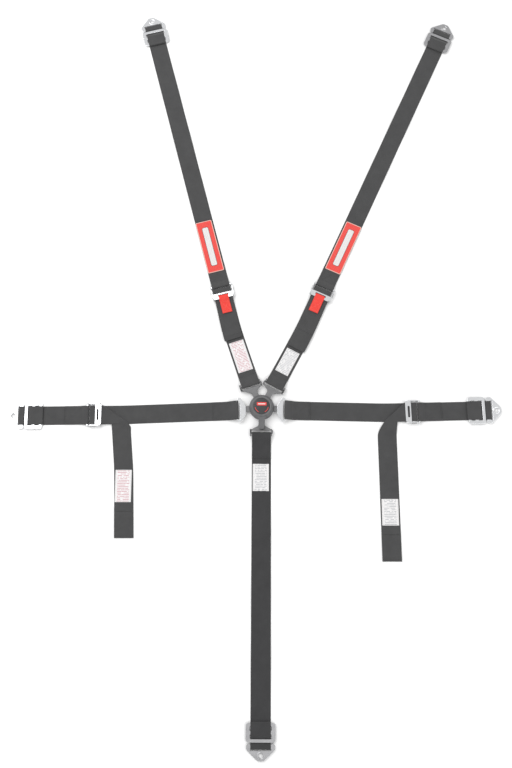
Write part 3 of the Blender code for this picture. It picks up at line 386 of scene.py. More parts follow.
ENAMEL = painted_finish("enamel_red", (0.70, 0.025, 0.02), (0.85, 0.06, 0.045), 0.3, 0.6, 0.8, 0.01)


# ---- mesh helpers


def built(name, verts, faces, finish, chart=None, sharp_deg=38.0):
    """Make a closed object from points and faces. A cloth chart has one (across, along) per point."""
    mesh = bpy.data.meshes.new(name)
    mesh.from_pydata([tuple(point) for point in verts], [], faces)
    if chart:
        layer = mesh.uv_layers.new(name="cloth")
        for loop in mesh.loops:
            layer.data[loop.index].uv = chart[loop.vertex_index]
    outward(mesh)
    return placed(name, mesh, finish, sharp_deg)


def placed(name, mesh, finish, sharp_deg=38.0):
    """Link a mesh as a smooth-shaded object with one finish."""
    mesh.materials.clear()
    mesh.materials.append(finish)
    mesh.shade_smooth()
    mesh.set_sharp_from_angle(angle=math.radians(sharp_deg))
    made = bpy.data.objects.new(name, mesh)
    bpy.context.scene.collection.objects.link(made)
    return made


def on_body(piece, body, slot, *nodes):
    """Let a piece ride on a body and stand for CAD nodes. The slot is not used."""
    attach(piece, body)
    told(piece, slot, *nodes)


def told(piece, slot, *nodes):
    """Hide the CAD nodes that a piece stands for. The slot is not used."""
    if nodes:
        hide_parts(*nodes)


def arc(centre, radius, start_deg, end_deg, steps):
    """Points along an arc, both ends included."""
    points = []
    for i in range(steps + 1):
        angle = math.radians(start_deg + (end_deg - start_deg) * i / steps)
        points.append((centre[0] + radius * math.cos(angle), centre[1] + radius * math.sin(angle)))
    return points


def softened(rows):
    """Cut the corners of a path twice. Its points are tuples of vectors, and the ends stay."""
    for _ in range(2):
        cut = [rows[0]]
        for before, after in zip(rows, rows[1:]):
            cut.append(tuple(a.lerp(b, 0.25) for a, b in zip(before, after)))
            cut.append(tuple(a.lerp(b, 0.75) for a, b in zip(before, after)))
        cut.append(rows[-1])
        rows = cut
    return rows


def filled_in(rows, step):
    """Add rows between those that lie more than a step apart."""
    full = [rows[0]]
    for before, after in zip(rows, rows[1:]):
        count = max(1, math.ceil((after[0] - before[0]).length / step))
        for k in range(1, count + 1):
            full.append(tuple(a.lerp(b, k / count) for a, b in zip(before, after)))
    return full


def web_section(width, thickness):
    """Outline of webbing across its width: (distance from one edge, height), with ribs at the edges."""
    edge = [(0.0, 0.0), (0.12, 0.55), (0.5, 0.92), (1.1, 1.0), (1.7, 0.74), (2.3, 0.98)]
    edge += [(3.3, 0.98), (3.9, 0.78), (4.5, 0.96)]
    top = [(distance * MM, height) for distance, height in edge]
    ribs = 6
    inner = width - 2.0 * edge[-1][0] * MM
    for k in range(1, ribs * 2):
        top.append((edge[-1][0] * MM + inner * k / (ribs * 2), 0.99 if k % 2 else 0.93))
    top += [(width - distance, height) for distance, height in reversed(top[: len(edge)])]
    below = [(distance, -height) for distance, height in reversed(top[1:-1])]
    return [(distance, height * thickness / 2) for distance, height in top + below]


def ribbon(name, stations, finish, width=WEB_WIDTH, thickness=WEB):
    """Webbing through stations of (one edge, other edge, normal)."""
    section = web_section(width, thickness)
    verts, chart, along = [], [], 0.0
    previous = None
    for one, other, normal in stations:
        middle = one.lerp(other, 0.5)
        along += (middle - previous).length if previous else 0.0
        previous = middle
        lift = normal.normalized()
        for distance, height in section:
            verts.append(one.lerp(other, distance / width) + lift * height)
            chart.append((distance - width / 2, along))
    count = len(section)
    faces = [tuple(range(count)), tuple(reversed(range(len(verts) - count, len(verts))))]
    for row in range(len(stations) - 1):
        for k in range(count):
            near, following = row * count + k, row * count + (k + 1) % count
            faces.append((near, near + count, following + count, following))
    return built(name, verts, faces, finish, chart, 60.0)


def outward(mesh):
    """Turn every face of a closed mesh to point out."""
    bm = bmesh.new()
    bm.from_mesh(mesh)
    bmesh.ops.recalc_face_normals(bm, faces=bm.faces[:])
    bm.to_mesh(mesh)
    bm.free()


def refined(node, name, edge, finish, segments=3):
    """A copy of a CAD solid with its sharp edges rounded."""
    bm = bmesh.new()
    bm.from_mesh(NODES[node].data)
    bmesh.ops.remove_doubles(bm, verts=bm.verts[:], dist=0.001 * MM)
    bmesh.ops.dissolve_limit(bm, angle_limit=math.radians(0.5), verts=bm.verts[:], edges=bm.edges[:])
    sharp = math.radians(CORNER_DEG)
    corners = [e for e in bm.edges if len(e.link_faces) == 2 and e.calc_face_angle() > sharp]
    bmesh.ops.bevel(
        bm,
        geom=corners,
        offset=edge,
        offset_type="OFFSET",
        segments=segments,
        profile=0.5,
        affect="EDGES",
        clamp_overlap=True,
    )
    mesh = bpy.data.meshes.new(name)
    bm.to_mesh(mesh)
    bm.free()
    piece = placed(name, mesh, finish)
    weighted = piece.modifiers.new("weighted", "WEIGHTED_NORMAL")
    weighted.keep_sharp = True
    return piece


def cad_copy(node, name, edge, finish, body, slot, segments=3):
    """Let a rounded copy of a CAD solid ride on a body and stand for its node."""
    on_body(refined(node, name, edge, finish, segments), body, slot, node)


def turned(name, profile, steps, finish, matrix):
    """Turn a closed profile of (radius, z) points about the z axis of a frame."""
    verts, faces, rings = [], [], []
    for radius, z in profile:
        if radius < 1e-9:
            rings.append([len(verts)] * steps)
            verts.append(Vector((0.0, 0.0, z)))
            continue
        rings.append(list(range(len(verts), len(verts) + steps)))
        for k in range(steps):
            angle = 2.0 * math.pi * k / steps
            verts.append(Vector((radius * math.cos(angle), radius * math.sin(angle), z)))
    for i, ring in enumerate(rings):
        above = rings[(i + 1) % len(rings)]
        for k in range(steps):
            following = (k + 1) % steps
            face = []
            for index in (ring[k], ring[following], above[following], above[k]):
                if index not in face:
                    face.append(index)
            if len(face) > 2:
                faces.append(tuple(face))
    return built(name, [matrix @ point for point in verts], faces, finish)


def sheet_plate(name, outline, low, high, finish, matrix=None):
    """A flat plate of a given outline with a softened upper edge."""
    count = len(outline)
    middle = Vector((sum(p[0] for p in outline), sum(p[1] for p in outline))) / count
    inset = 0.25 * MM
    rings = ((0.0, low), (0.0, high - inset), (inset, high))
    verts, spots, faces = [], [], []
    for pull, z in rings:
        for x, y in outline:
            spot = Vector((x, y))
            spot -= (spot - middle).normalized() * pull
            spots.append((spot.y, spot.x))
            verts.append(Vector((spot.x, spot.y, z)))
    for ring in range(len(rings) - 1):
        for k in range(count):
            near, following = ring * count + k, ring * count + (k + 1) % count
            faces.append((near, following, following + count, near + count))
    faces.append(tuple(reversed(range(count))))
    faces.append(tuple(range(len(verts) - count, len(verts))))
    if matrix:
        verts = [matrix @ point for point in verts]
    return built(name, verts, faces, finish, spots)


def trim(name, outline, low, high, finish, matrix, body, slot, *nodes):
    """A flat trim on a body, which may stand for CAD nodes."""
    on_body(sheet_plate(name, outline, low, high, finish, matrix), body, slot, *nodes)


def rounded_box(x0, x1, y0, y1, radius):
    """Closed outline of a rectangle with round corners."""
    left, right, low, high = x0 + radius, x1 - radius, y0 + radius, y1 - radius
    outline = []
    for k, centre in enumerate(((right, high), (left, high), (left, low), (right, low))):
        outline += arc(centre, radius, 90.0 * k, 90.0 * (k + 1), CORNER_STEPS)
    return outline


def one_stitch(verts, faces, first, last, radius):
    """Add one stitch between two points of the cloth: a round thread that dips in at both ends."""
    sides = 6
    run = last - first
    side = run.cross(UP).normalized()
    rise = side.cross(run).normalized()
    base = len(verts)
    verts.append(first - rise * radius * 0.6)
    for share in (0.22, 0.78):
        for corner in range(sides):
            angle = 2.0 * math.pi * corner / sides
            spoke = side * math.cos(angle) + rise * math.sin(angle)
            verts.append(first + run * share + spoke * radius)
    verts.append(last - rise * radius * 0.6)
    for corner in range(sides):
        near = base + 1 + corner
        following = base + 1 + (corner + 1) % sides
        faces.append((base, following, near))
        faces.append((near, following, following + sides, near + sides))
        faces.append((near + sides, following + sides, base + 1 + 2 * sides))


def stitching(name, rows, surface, finish, body, slot="webbing", radius=STITCH_RADIUS):
    """Stitches on a body, along rows of (a, b) points. surface(a, b) gives the point of the cloth."""
    verts, faces = [], []
    for row in rows:
        for (a0, b0), (a1, b1) in zip(row, row[1:]):
            span = math.hypot(a1 - a0, b1 - b0)
            count = max(1, round(span / STITCH_PITCH))
            reach = STITCH_LENGTH / 2 / span
            for k in range(count):
                middle = (k + 0.5) / count
                ends = []
                for t in (middle - reach, middle + reach):
                    ends.append(surface(a0 + (a1 - a0) * t, b0 + (b1 - b0) * t))
                one_stitch(verts, faces, *ends, radius)
    on_body(built(name, verts, faces, finish), body, slot)


def box_rows(a0, a1, b, crossed=True):
    """Rows of a box stitch, with a cross inside."""
    rows = [[(a0, -b), (a1, -b), (a1, b), (a0, b), (a0, -b)]]
    if crossed:
        rows += [[(a0, -b), (a1, b)], [(a0, b), (a1, -b)]]
    return rows


def bartack_rows(a, half):
    """Zigzag row of a bartack across the webbing at a."""
    count = round(2.0 * half / TACK_STEP)
    row = []
    for k in range(count + 1):
        row.append((a + (TACK_REACH if k % 2 else -TACK_REACH), half * (2.0 * k / count - 1.0)))
    return [row]


def welt(name, path, radius, pitch, finish):
    """Closed overlocked edge: a cord of wound thread round a path of points."""
    sides = 8
    loop = filled_in([(point,) for point in path + path[:1]], pitch / 2)[:-1]
    centre = sum((row[0] for row in loop), Vector()) / len(loop)
    verts, faces = [], []
    for i, (point,) in enumerate(loop):
        before, after = loop[i - 1][0], loop[(i + 1) % len(loop)][0]
        run = (after - before).normalized()
        side = run.cross(UP).normalized()
        if side.dot(point - centre) < 0.0:
            side = -side
        size = radius * (1.0 if i % 2 else 0.86)
        for corner in range(sides):
            angle = 2.0 * math.pi * corner / sides
            spoke = side * math.cos(angle) + UP * (math.sin(angle) * 0.55)
            verts.append(point + spoke * size)
    for i in range(len(loop)):
        near, far = i * sides, (i + 1) % len(loop) * sides
        for corner in range(sides):
            following = (corner + 1) % sides
            faces.append((near + corner, near + following, far + following, far + corner))
    return built(name, verts, faces, finish, sharp_deg=80.0)


# ---- runs


def cross2(a, b):
    """Cross product of two flat vectors."""
    return a.x * b.y - a.y * b.x


class Run:
    """The line that one strap follows, read from the joints at its two ends."""

    def __init__(self, side):
        near = JOINTS[side + "_strap_lift"]
        far = JOINTS[side + "_bracket_tilt"]
        self.side = side
        self.start = Vector(near["pos_m"][:2])
        self.bar_z = near["pos_m"][2]
        self.pivot_z = far["pos_m"][2]
        self.out = Vector((-near["axis"][1], near["axis"][0]))
        self.far_out = Vector((-far["axis"][1], far["axis"][0]))
        end = Vector(far["pos_m"][:2])
        turn = cross2(self.out, self.far_out)
        self.bend_at = (end - self.start).length / 2
        if abs(turn) > 0.001:
            self.bend_at = cross2(end - self.start, self.far_out) / turn
        self.corner = self.start + self.out * self.bend_at
        self.pivot = self.s_of(end)
        self.slide = self.pivot - PIVOT_AT
        self.adjuster = None
        if side + "_adjuster_slide" in JOINTS:
            self.adjuster = self.s_of(Vector(JOINTS[side + "_adjuster_slide"]["pos_m"][:2]))

    def s_of(self, point):
        """Distance along the run of a point on it."""
        beyond = (point - self.corner).dot(self.far_out)
        if beyond > 0.0:
            return self.bend_at + beyond
        return (point - self.start).dot(self.out)

    def at(self, s):
        """Return the centre point and the direction at distance s."""
        t = (s - self.bend_at + BEND_LENGTH / 2) / BEND_LENGTH
        if t <= 0.0:
            return self.start + self.out * s, self.out
        if t >= 1.0:
            return self.corner + self.far_out * (s - self.bend_at), self.far_out
        first = self.corner - self.out * (BEND_LENGTH / 2)
        last = self.corner + self.far_out * (BEND_LENGTH / 2)
        point = first.lerp(self.corner, t).lerp(self.corner.lerp(last, t), t)
        return point, self.out.lerp(self.far_out, t).normalized()

    def place(self, s, v, z):
        """World point at s along, v across (left of the heading) and z up."""
        point, out = self.at(s)
        return Vector((point.x - v * out.y, point.y + v * out.x, z))

    def matrix(self, s, z=0.0):
        """Frame whose x axis runs outward along the strap at s."""
        point, out = self.at(s)
        turn = Matrix.Rotation(math.atan2(out.y, out.x), 4, "Z")
        return Matrix.Translation((point.x, point.y, z)) @ turn

    def extent(self, node):
        """Lowest and highest (s, v, z) of a CAD node."""
        found = []
        for vert in NODES[node].data.vertices:
            spot = Vector(vert.co[:2])
            s = self.s_of(spot)
            point, out = self.at(s)
            found.append((s, cross2(out, spot - point), vert.co.z))
        return [min(values) for values in zip(*found)], [max(values) for values in zip(*found)]


RUNS = {side: Run(side) for side in SIDES}


class Path:
    """Side view of a strap: a smooth line of (s, z) points, with what stands on it."""

    def __init__(self, points, step=STATION):
        rows = softened([(Vector((s, z)),) for s, z in points])
        self.points = [row[0] for row in filled_in(rows, step)]

    def normals(self):
        """Unit normal at each point."""
        found = []
        for i in range(len(self.points)):
            before = self.points[max(i - 1, 0)]
            after = self.points[min(i + 1, len(self.points) - 1)]
            along = (after - before).normalized()
            found.append(Vector((-along.y, along.x)))
        return found

    def top(self, s):
        """Height of the upper face of the webbing at s."""
        found = []
        for before, after in zip(self.points, self.points[1:]):
            low, high = sorted((before.x, after.x))
            if low <= s <= high and high > low:
                found.append(before.lerp(after, (s - before.x) / (after.x - before.x)).y)
        return max(found, default=LAYER_1) + WEB / 2

    def stations(self, run, shift=None, wave=None):
        """Stations of the ribbon along a run."""
        made = []
        for point, normal in zip(self.points, self.normals()):
            out = run.at(point.x)[1]
            aside = shift(point.x) if shift else 0.0
            rise, tilt = wave(point.x) if wave else (0.0, 0.0)
            one = run.place(point.x, aside + WEB_WIDTH / 2, point.y + rise + tilt)
            other = run.place(point.x, aside - WEB_WIDTH / 2, point.y + rise)
            made.append((one, other, Vector((out.x * normal.x, out.y * normal.x, normal.y))))
        return made


# ---- webbing


def strap_head(run, on_top, overlap):
    """Webbing from its sewn end, round the tongue's bar and down to the ground."""
    low = [(40.0 * MM, LAYER_1), (24.0 * MM, 1.6 * MM), (10.0 * MM, run.bar_z - TONGUE_TURN - 1.6 * MM)]
    high = [(40.0 * MM, LAYER_2), (26.0 * MM, 3.4 * MM), (12.0 * MM, run.bar_z + TONGUE_TURN - 3.2 * MM)]
    if on_top:
        points = [(overlap, LAYER_2)] + high + arc((0.0, run.bar_z), TONGUE_TURN, 90.0, 270.0, 6)
        return points + low[::-1]
    points = [(overlap, LAYER_1)] + low + arc((0.0, run.bar_z), TONGUE_TURN, -90.0, -270.0, 6)
    return points + high[::-1] + [(overlap, LAYER_2), (overlap + 12.0 * MM, LAYER_1)]


def grip_end(run):
    """Webbing under the knurled bar, round it and back to the middle of the lip."""
    at = run.adjuster + GRIP_AT + GRIP_WIDTH / 2 - 1.3 * MM
    points = [(run.adjuster - 8.0 * MM, LAYER_1), (run.adjuster + 14.0 * MM, GRIP_Z - GRIP_TURN)]
    points += arc((at, GRIP_Z), GRIP_TURN, -90.0, 90.0, 6)
    points.append((run.adjuster + 14.0 * MM, GRIP_Z + GRIP_TURN))
    return points + [(run.adjuster + 9.4 * MM, GRIP_Z + GRIP_TURN)]


def anchor_end(run):
    """Webbing under the slide, round the bracket's bar, over the slide and round its near bar."""
    slide = run.slide
    turn = 2.2 * MM
    over = 7.45 * MM
    bar_top = run.pivot_z + BRACKET_THICKNESS / 2 + GAP + WEB / 2
    radius = (bar_top - LAYER_1) / 2
    bar_end = slide + PIVOT_AT + BRACKET_BAR / 2
    points = [(slide - 6.0 * MM, LAYER_1), (slide + 40.0 * MM, LAYER_1)]
    points += arc((bar_end - 0.6 * MM, LAYER_1 + radius), radius, -90.0, 90.0, 6)
    points += [(slide + 51.0 * MM, bar_top), (slide + 50.0 * MM, bar_top)]
    points += [(slide + 48.0 * MM, 4.2 * MM), (slide + 46.8 * MM, 3.0 * MM)]
    points += [(slide + 38.6 * MM, 3.0 * MM), (slide + 36.6 * MM, 3.5 * MM)]
    points += [(slide + 29.6 * MM, over - 0.4 * MM), (slide + 27.6 * MM, over), (slide + 12.0 * MM, over)]
    points += arc((slide + 0.6 * MM, over - turn), turn, 90.0, 270.0, 6)
    return points + [(slide + 8.0 * MM, 2.6 * MM), (slide + 17.0 * MM, LAYER_2)]


def lain(start, end, height, phase):
    """Slight waves of webbing that lies loose on the ground from start to end."""

    def wave(s):
        if not start < s < end:
            return 0.0, 0.0
        share = math.sin(math.pi * (s - start) / (end - start)) ** 0.5
        slow = 0.5 - 0.5 * math.cos(2.0 * math.pi * s / 0.173 + phase)
        tilt = 0.5 - 0.5 * math.cos(2.0 * math.pi * s / 0.231 + 2.0 * phase)
        return height * share * slow, 0.7 * height * share * tilt

    return wave


def surface_of(run, path, shift=None):
    """Return the function that gives the upper face of a strap at (s, v)."""

    def surface(s, v):
        aside = shift(s) if shift else 0.0
        return run.place(s, aside + v, path.top(s))

    return surface


def bar_seam(run, path, name, body, first, last, tack):
    """Box stitch from first to last and a bartack, where a strap is sewn round a bar."""
    rows = box_rows(first, last, BOX_HALF) + bartack_rows(tack, TACK_HALF)
    stitching(run.side + name, rows, surface_of(run, path), THREAD_DARK, body)


def adjustable_strap(run):
    """Strap sewn to the tongue and led round the knurled bar of the adjuster."""
    side = run.side
    shoulder = "shoulder" in side
    overlap = SHOULDER_OVERLAP if shoulder else TOP_OVERLAP
    path = Path(strap_head(run, not shoulder, overlap) + grip_end(run))
    piece = ribbon(side + "_webbing", path.stations(run), WEBBING)
    start = run.place(overlap + 15.0 * MM, 0.0, 0.0)
    end = run.place(run.adjuster - 8.0 * MM, 0.0, 0.0)
    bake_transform(piece)
    told(piece, "webbing", side + "_strap")
    first = (28.0 if shoulder else 16.0) * MM
    ends = (first, overlap - 5.0 * MM, overlap - 2.2 * MM)
    bar_seam(run, path, "_tongue_seam", side + "_strap_body", *ends)
    return path


def hem_profile(end, hem):
    """Folded end of a shoulder tail: the top layer, the fold, and the layer sewn below it."""
    radius = (TAIL_HIGH - TAIL_LOW) / 2
    points = [(end + hem + 4.0 * MM, TAIL_HIGH), (end + radius, TAIL_HIGH)]
    points += arc((end + radius, TAIL_LOW + radius), radius, 90.0, 270.0, 4)[1:]
    return points + [(end + hem, TAIL_LOW)]


def shoulder_tail(run):
    """Free end of a shoulder strap: out from under the lip and down over the strap below."""
    side = run.side
    spec = SHOULDER_TAILS[side]
    high = GRIP_Z + GRIP_TURN
    end = run.extent(side + "_strap_tail")[0][0]
    hem = spec["hem"]
    profile = [(run.adjuster + 9.0 * MM, high), (run.adjuster, high - 0.3 * MM)]
    profile += [(run.adjuster - 9.0 * MM, 6.6 * MM), (run.adjuster - 20.0 * MM, 5.2 * MM)]
    profile += [(run.adjuster - 30.0 * MM, TAIL_LOW), (end + hem + 10.0 * MM, TAIL_LOW)]
    path = Path(profile + hem_profile(end, hem))

    def shift(s):
        return spec["shift"] * max(0.0, run.adjuster - s) / (run.adjuster - end)

    piece = ribbon(side + "_tail", path.stations(run, shift), WEBBING)
    lip = run.place(run.adjuster - 10.0 * MM, 0.0, 0.0)
    foot = run.place(end + hem + 12.0 * MM, 0.0, 0.0)
    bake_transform(piece)
    told(piece, "webbing", side + "_strap_tail")
    rows = [[(end + 4.0 * MM, -21.0 * MM), (end + 4.0 * MM, 21.0 * MM)]]
    # The hem's bartack is dense, dark thread: real stitching that also stands for the painted shadow line
    # where the hem ends.
    rows += bartack_rows(end + hem - 3.5 * MM, 23.0 * MM)
    stitching(side + "_tail_seam_and_hem_shadow", rows, surface_of(run, path, shift), THREAD_DARK, side + "_tail_body")


def bezier(a, b, c, d, t):
    """Point on a cubic curve."""
    u = 1.0 - t
    return a * u**3 + b * (3.0 * t * u * u) + c * (3.0 * t * t * u) + d * t**3


def crease_stations(run, upper, lower, top_sign):
    """Tail of a lap strap from the lip to the slanting crease, and half a turn about it."""
    high = GRIP_Z + GRIP_TURN
    stations = []
    for offset, z in ((9.0 * MM, high), (0.0, high - 0.3 * MM), (-4.0 * MM, high - 1.0 * MM)):
        one = run.place(run.adjuster + offset, top_sign * WEB_WIDTH / 2, z)
        other = run.place(run.adjuster + offset, -top_sign * WEB_WIDTH / 2, z)
        stations.append((one, other, UP.copy()))
    crease = (lower - upper).normalized()
    toward_buckle = Vector((-crease.y, crease.x, 0.0)) * -top_sign
    radius = (LAYER_3 - LAYER_2) / 2
    for spoke in range(9):
        angle = math.radians(-90.0 + 22.5 * spoke)
        step = toward_buckle * (radius * math.cos(angle))
        lift = LAYER_2 + radius + radius * math.sin(angle)
        normal = -(toward_buckle * math.cos(angle) + UP * math.sin(angle))
        stations.append((upper + step + UP * (lift + FOLD_RISE), lower + step + UP * lift, normal))
    return stations


def flap_stations(upper, lower, hang, across):
    """Tail of a lap strap from the crease over the strap's edge and down to the ground."""
    down = Vector((0.0, -1.0, 0.0))
    one_end = hang + across
    other_end = hang - across
    one_leave = upper - across * 0.5 + down * (12.0 * MM)
    one_arrive = one_end - down * (35.0 * MM)
    other_leave = lower - across * 0.3 + down * (10.0 * MM)
    other_arrive = other_end - down * (14.0 * MM)
    one_heights = [LAYER_3 + FOLD_RISE * share for share in (0.80, 0.60, 0.40, 0.20)]
    one_heights += [3.0 * MM, LAYER_1]
    stations = []
    for k, height in enumerate(one_heights, 1):
        t = k / len(one_heights)
        one = bezier(upper, one_leave, one_arrive, one_end, t)
        other = bezier(lower, other_leave, other_arrive, other_end, t)
        one.z = height
        other.z = LAYER_3 - (LAYER_3 - LAYER_1) * max(0.0, (t - 0.3) / 0.7) ** 1.5
        stations.append((one, other, -UP))
    return stations


def hang_stations(hang, hem_length, across):
    """Tail of a lap strap along the ground to its folded hem."""
    stations = []
    for t in (0.33, 0.66, 1.0):
        middle = hang[0].lerp(hang[1], t)
        middle.z = LAYER_1
        stations.append((middle + across, middle - across, -UP))
    end = hang[2].y
    hem = end + hem_length
    radius = (LAYER_2 - LAYER_1) / 2
    drift = (hang[2].x - hang[1].x) / (hang[2].y - hang[1].y)
    for y, z in ((hem + 8.0 * MM, LAYER_1), (hem - 4.0 * MM, LAYER_2), (end + radius, LAYER_2)):
        middle = Vector((hang[1].x + drift * (y - hang[1].y), y, z))
        stations.append((middle + across, middle - across, -UP))
    for spoke in range(1, 9):
        angle = math.radians(90.0 + 22.5 * spoke)
        y = end + radius + radius * math.cos(angle)
        middle = Vector((hang[2].x, y, LAYER_1 + radius * (1.0 + math.sin(angle))))
        normal = Vector((0.0, -math.cos(angle), -math.sin(angle)))
        stations.append((middle + across, middle - across, normal))
    middle = Vector((hang[1].x + drift * (hem - hang[1].y), hem - 5.0 * MM, LAYER_1))
    stations.append((middle + across, middle - across, UP.copy()))
    return stations


def lap_tail(run):
    """Free end of a lap strap: folded over on the slant and hanging down towards -Y."""
    side = run.side
    spec = LAP_TAILS[side]
    top_sign = 1.0 if side.startswith("right") else -1.0
    upper, lower = (Vector((x, y, 0.0)) * MM for x, y in spec["fold"])
    hang = [Vector((x, y, 0.0)) * MM for x, y in spec["hang"]]
    across = Vector((WEB_WIDTH / 2, 0.0, 0.0)) * top_sign
    hem = spec["hem"] * MM
    stations = crease_stations(run, upper, lower, top_sign)
    stations += flap_stations(upper, lower, hang[0], across)
    stations += hang_stations(hang, hem, across)
    stations = filled_in(softened(stations), STATION)
    piece = ribbon(side + "_tail", stations, WEBBING)
    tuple(hang[0])
    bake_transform(piece)
    told(piece, "webbing", side + "_strap_tail")
    top = LAYER_2 + WEB / 2
    drift = (hang[2].x - hang[1].x) / (hang[2].y - hang[1].y)

    def surface(a, b):
        return Vector((hang[1].x + drift * (a - hang[1].y) + b, a, top))

    foot = hang[2].y + 5.0 * MM
    rows = [[(foot, -20.0 * MM), (foot, 20.0 * MM)]]
    # The hem's bartack is dense, dark thread: real stitching that also stands for the painted shadow line
    # where the hem ends.
    rows += bartack_rows(hang[2].y + hem - 9.0 * MM, TACK_HALF)
    stitching(side + "_tail_seam_and_hem_shadow", rows, surface, THREAD_DARK, side + "_tail_body")


def anchor_blend(piece, run):
    """Bake the placement of a strap into its mesh."""
    start = run.place(run.slide + 46.5 * MM, 0.0, run.pivot_z)
    end = run.place(run.slide + 52.0 * MM, 0.0, run.pivot_z)
    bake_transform(piece)


def anchor_strap(run):
    """Strap sewn round the adjuster's rear bar and led to the slide and the bracket."""
    side = run.side
    rear = run.adjuster + REAR_AT
    low = [(rear + FRAME_OVERLAP, LAYER_1), (rear + 8.0 * MM, LAYER_1 + 0.1 * MM)]
    high = [(rear + FRAME_OVERLAP, LAYER_2), (rear + 24.0 * MM, LAYER_2)]
    high += [(rear + 15.0 * MM, 3.8 * MM), (rear + 6.0 * MM, 7.0 * MM)]
    if "shoulder" in side:
        profile = low + arc((rear, REAR_Z), REAR_TURN, -90.0, -270.0, 6) + high[::-1]
        profile.append((rear + FRAME_OVERLAP + 10.0 * MM, LAYER_1))
    else:
        profile = high + arc((rear, REAR_Z), REAR_TURN, 90.0, 270.0, 6) + low[::-1]
    path = Path(profile + anchor_end(run))
    wave = None
    body = side + "_anchor_body"
    if "shoulder" in side:
        loose = run.extent(side + "_patch")[1][0] + 25.0 * MM
        wave = lain(loose, run.slide - 40.0 * MM, 1.6 * MM, 1.0 if side.startswith("left") else 2.6)
    piece = ribbon(side + "_anchor_webbing", path.stations(run, wave=wave), WEBBING)
    anchor_blend(piece, run)
    told(piece, "webbing", side + "_anchor_strap")
    sewn = rear + FRAME_OVERLAP
    bar_seam(run, path, "_frame_seam", body, rear + 17.0 * MM, sewn - 4.0 * MM, sewn - 1.8 * MM)


def crotch_strap(run):
    """Crotch strap: sewn round its tongue, and led to its slide and bracket."""
    path = Path(strap_head(run, True, TOP_OVERLAP) + anchor_end(run))
    wave = lain(0.175, run.slide - 40.0 * MM, 1.5 * MM, 0.4)
    piece = ribbon("crotch_webbing", path.stations(run, wave=wave), WEBBING_DARK)
    anchor_blend(piece, run)
    told(piece, "webbing", "crotch_strap")
    ends = (16.0 * MM, TOP_OVERLAP - 5.0 * MM, TOP_OVERLAP - 2.2 * MM)
    bar_seam(run, path, "_tongue_seam", "crotch_strap_body", *ends)


# ---- trims


def release_tab(run):
    """Red webbing tab that hooks through the lip's slot and lies over the tail."""
    side = run.side
    path = [(TAB_HOOK, LIP_TOP - 1.5 * MM), (TAB_HOOK, LIP_TOP)]
    path += arc((TAB_HOOK - 1.4 * MM, LIP_TOP), 1.4 * MM, 0.0, 90.0, 4)[1:]
    path += [(1.0 * MM, 13.4 * MM), (-4.0 * MM, 12.6 * MM), (-12.0 * MM, 9.2 * MM)]
    path += [(-24.0 * MM, 8.2 * MM), (-42.0 * MM, 7.9 * MM)]
    line = Path(path, 4.0 * MM)
    home = run.matrix(run.adjuster)
    across = Vector((0.0, TAB_WIDTH / 2, 0.0))
    stations = []
    for point, normal in zip(line.points, line.normals()):
        spot = Vector((point.x, 0.0, point.y))
        turned_normal = home.to_3x3() @ Vector((normal.x, 0.0, normal.y))
        stations.append((home @ (spot + across), home @ (spot - across), turned_normal))
    piece = ribbon(side + "_pull_tab", stations, TAB_RED, TAB_WIDTH, TAB)
    on_body(piece, side + "_tab_body", "red", side + "_release_tab")

    def surface(a, b):
        return home @ Vector((a, b, line.top(a) - WEB / 2 + TAB / 2))

    rows = box_rows(-38.0 * MM, -10.0 * MM, 10.0 * MM)
    stitching(side + "_pull_tab_seam", rows, surface, THREAD_RED, side + "_tab_body", "red", 0.26 * MM)


def node_frame(node, out):
    """Middle of a flat node's foot, its length and width, and the frame whose x axis runs along out."""
    turn = Matrix.Rotation(math.atan2(out.y, out.x), 4, "Z")
    back = turn.inverted()
    spots = [back @ vert.co for vert in NODES[node].data.vertices]
    low = Vector([min(spot[i] for spot in spots) for i in range(3)])
    high = Vector([max(spot[i] for spot in spots) for i in range(3)])
    size = high - low
    return turn @ Matrix.Translation(((low.x + high.x) / 2, (low.y + high.y) / 2, low.z)), size


def label(side, body, out, finish):
    """Sewn label with round corners and a row of stitches round its edge."""
    home, size = node_frame(side + "_label", out)
    half_x, half_y = size.x / 2, size.y / 2
    outline = rounded_box(-half_x, half_x, -half_y, half_y, 1.2 * MM)
    trim(side + "_tag", outline, 0.0, size.z, finish, home, body, "label", side + "_label")

    def surface(a, b):
        return home @ Vector((a, b, size.z))

    end = half_x - EDGE_MARGIN
    rows = box_rows(-end, end, half_y - EDGE_MARGIN, crossed=False)
    stitching(side + "_tag_seam", rows, surface, THREAD_DARK, body, radius=FINE_STITCH_RADIUS)


def shoulder_label(run, path, finish):
    """Label that lies over the end of the sewn overlap and follows the strap's surface."""
    side = run.side
    body = side + "_strap_body"
    low, high = run.extent(side + "_label")
    start, stop = low[0], high[0]
    half = (high[1] - low[1]) / 2
    stations = []
    for k in range(LABEL_STEPS + 1):
        s = start + (stop - start) * k / LABEL_STEPS
        z = path.top(s) + LABEL_LIFT
        stations.append((run.place(s, half, z), run.place(s, -half, z), UP.copy()))
    piece = ribbon(side + "_tag", stations, finish, 2.0 * half, LABEL)
    on_body(piece, body, "label", side + "_label")

    def surface(a, b):
        return run.place(a, b, path.top(a) + LABEL_LIFT + LABEL / 2)

    first, last, aside = start + EDGE_MARGIN, stop - EDGE_MARGIN, half - EDGE_MARGIN
    rows = [[(first, v), (last, v)] for v in (aside, -aside)]
    rows += [[(s, -aside), (s, aside)] for s in (first, last)]
    stitching(side + "_tag_seam", rows, surface, THREAD_DARK, body, radius=FINE_STITCH_RADIUS)


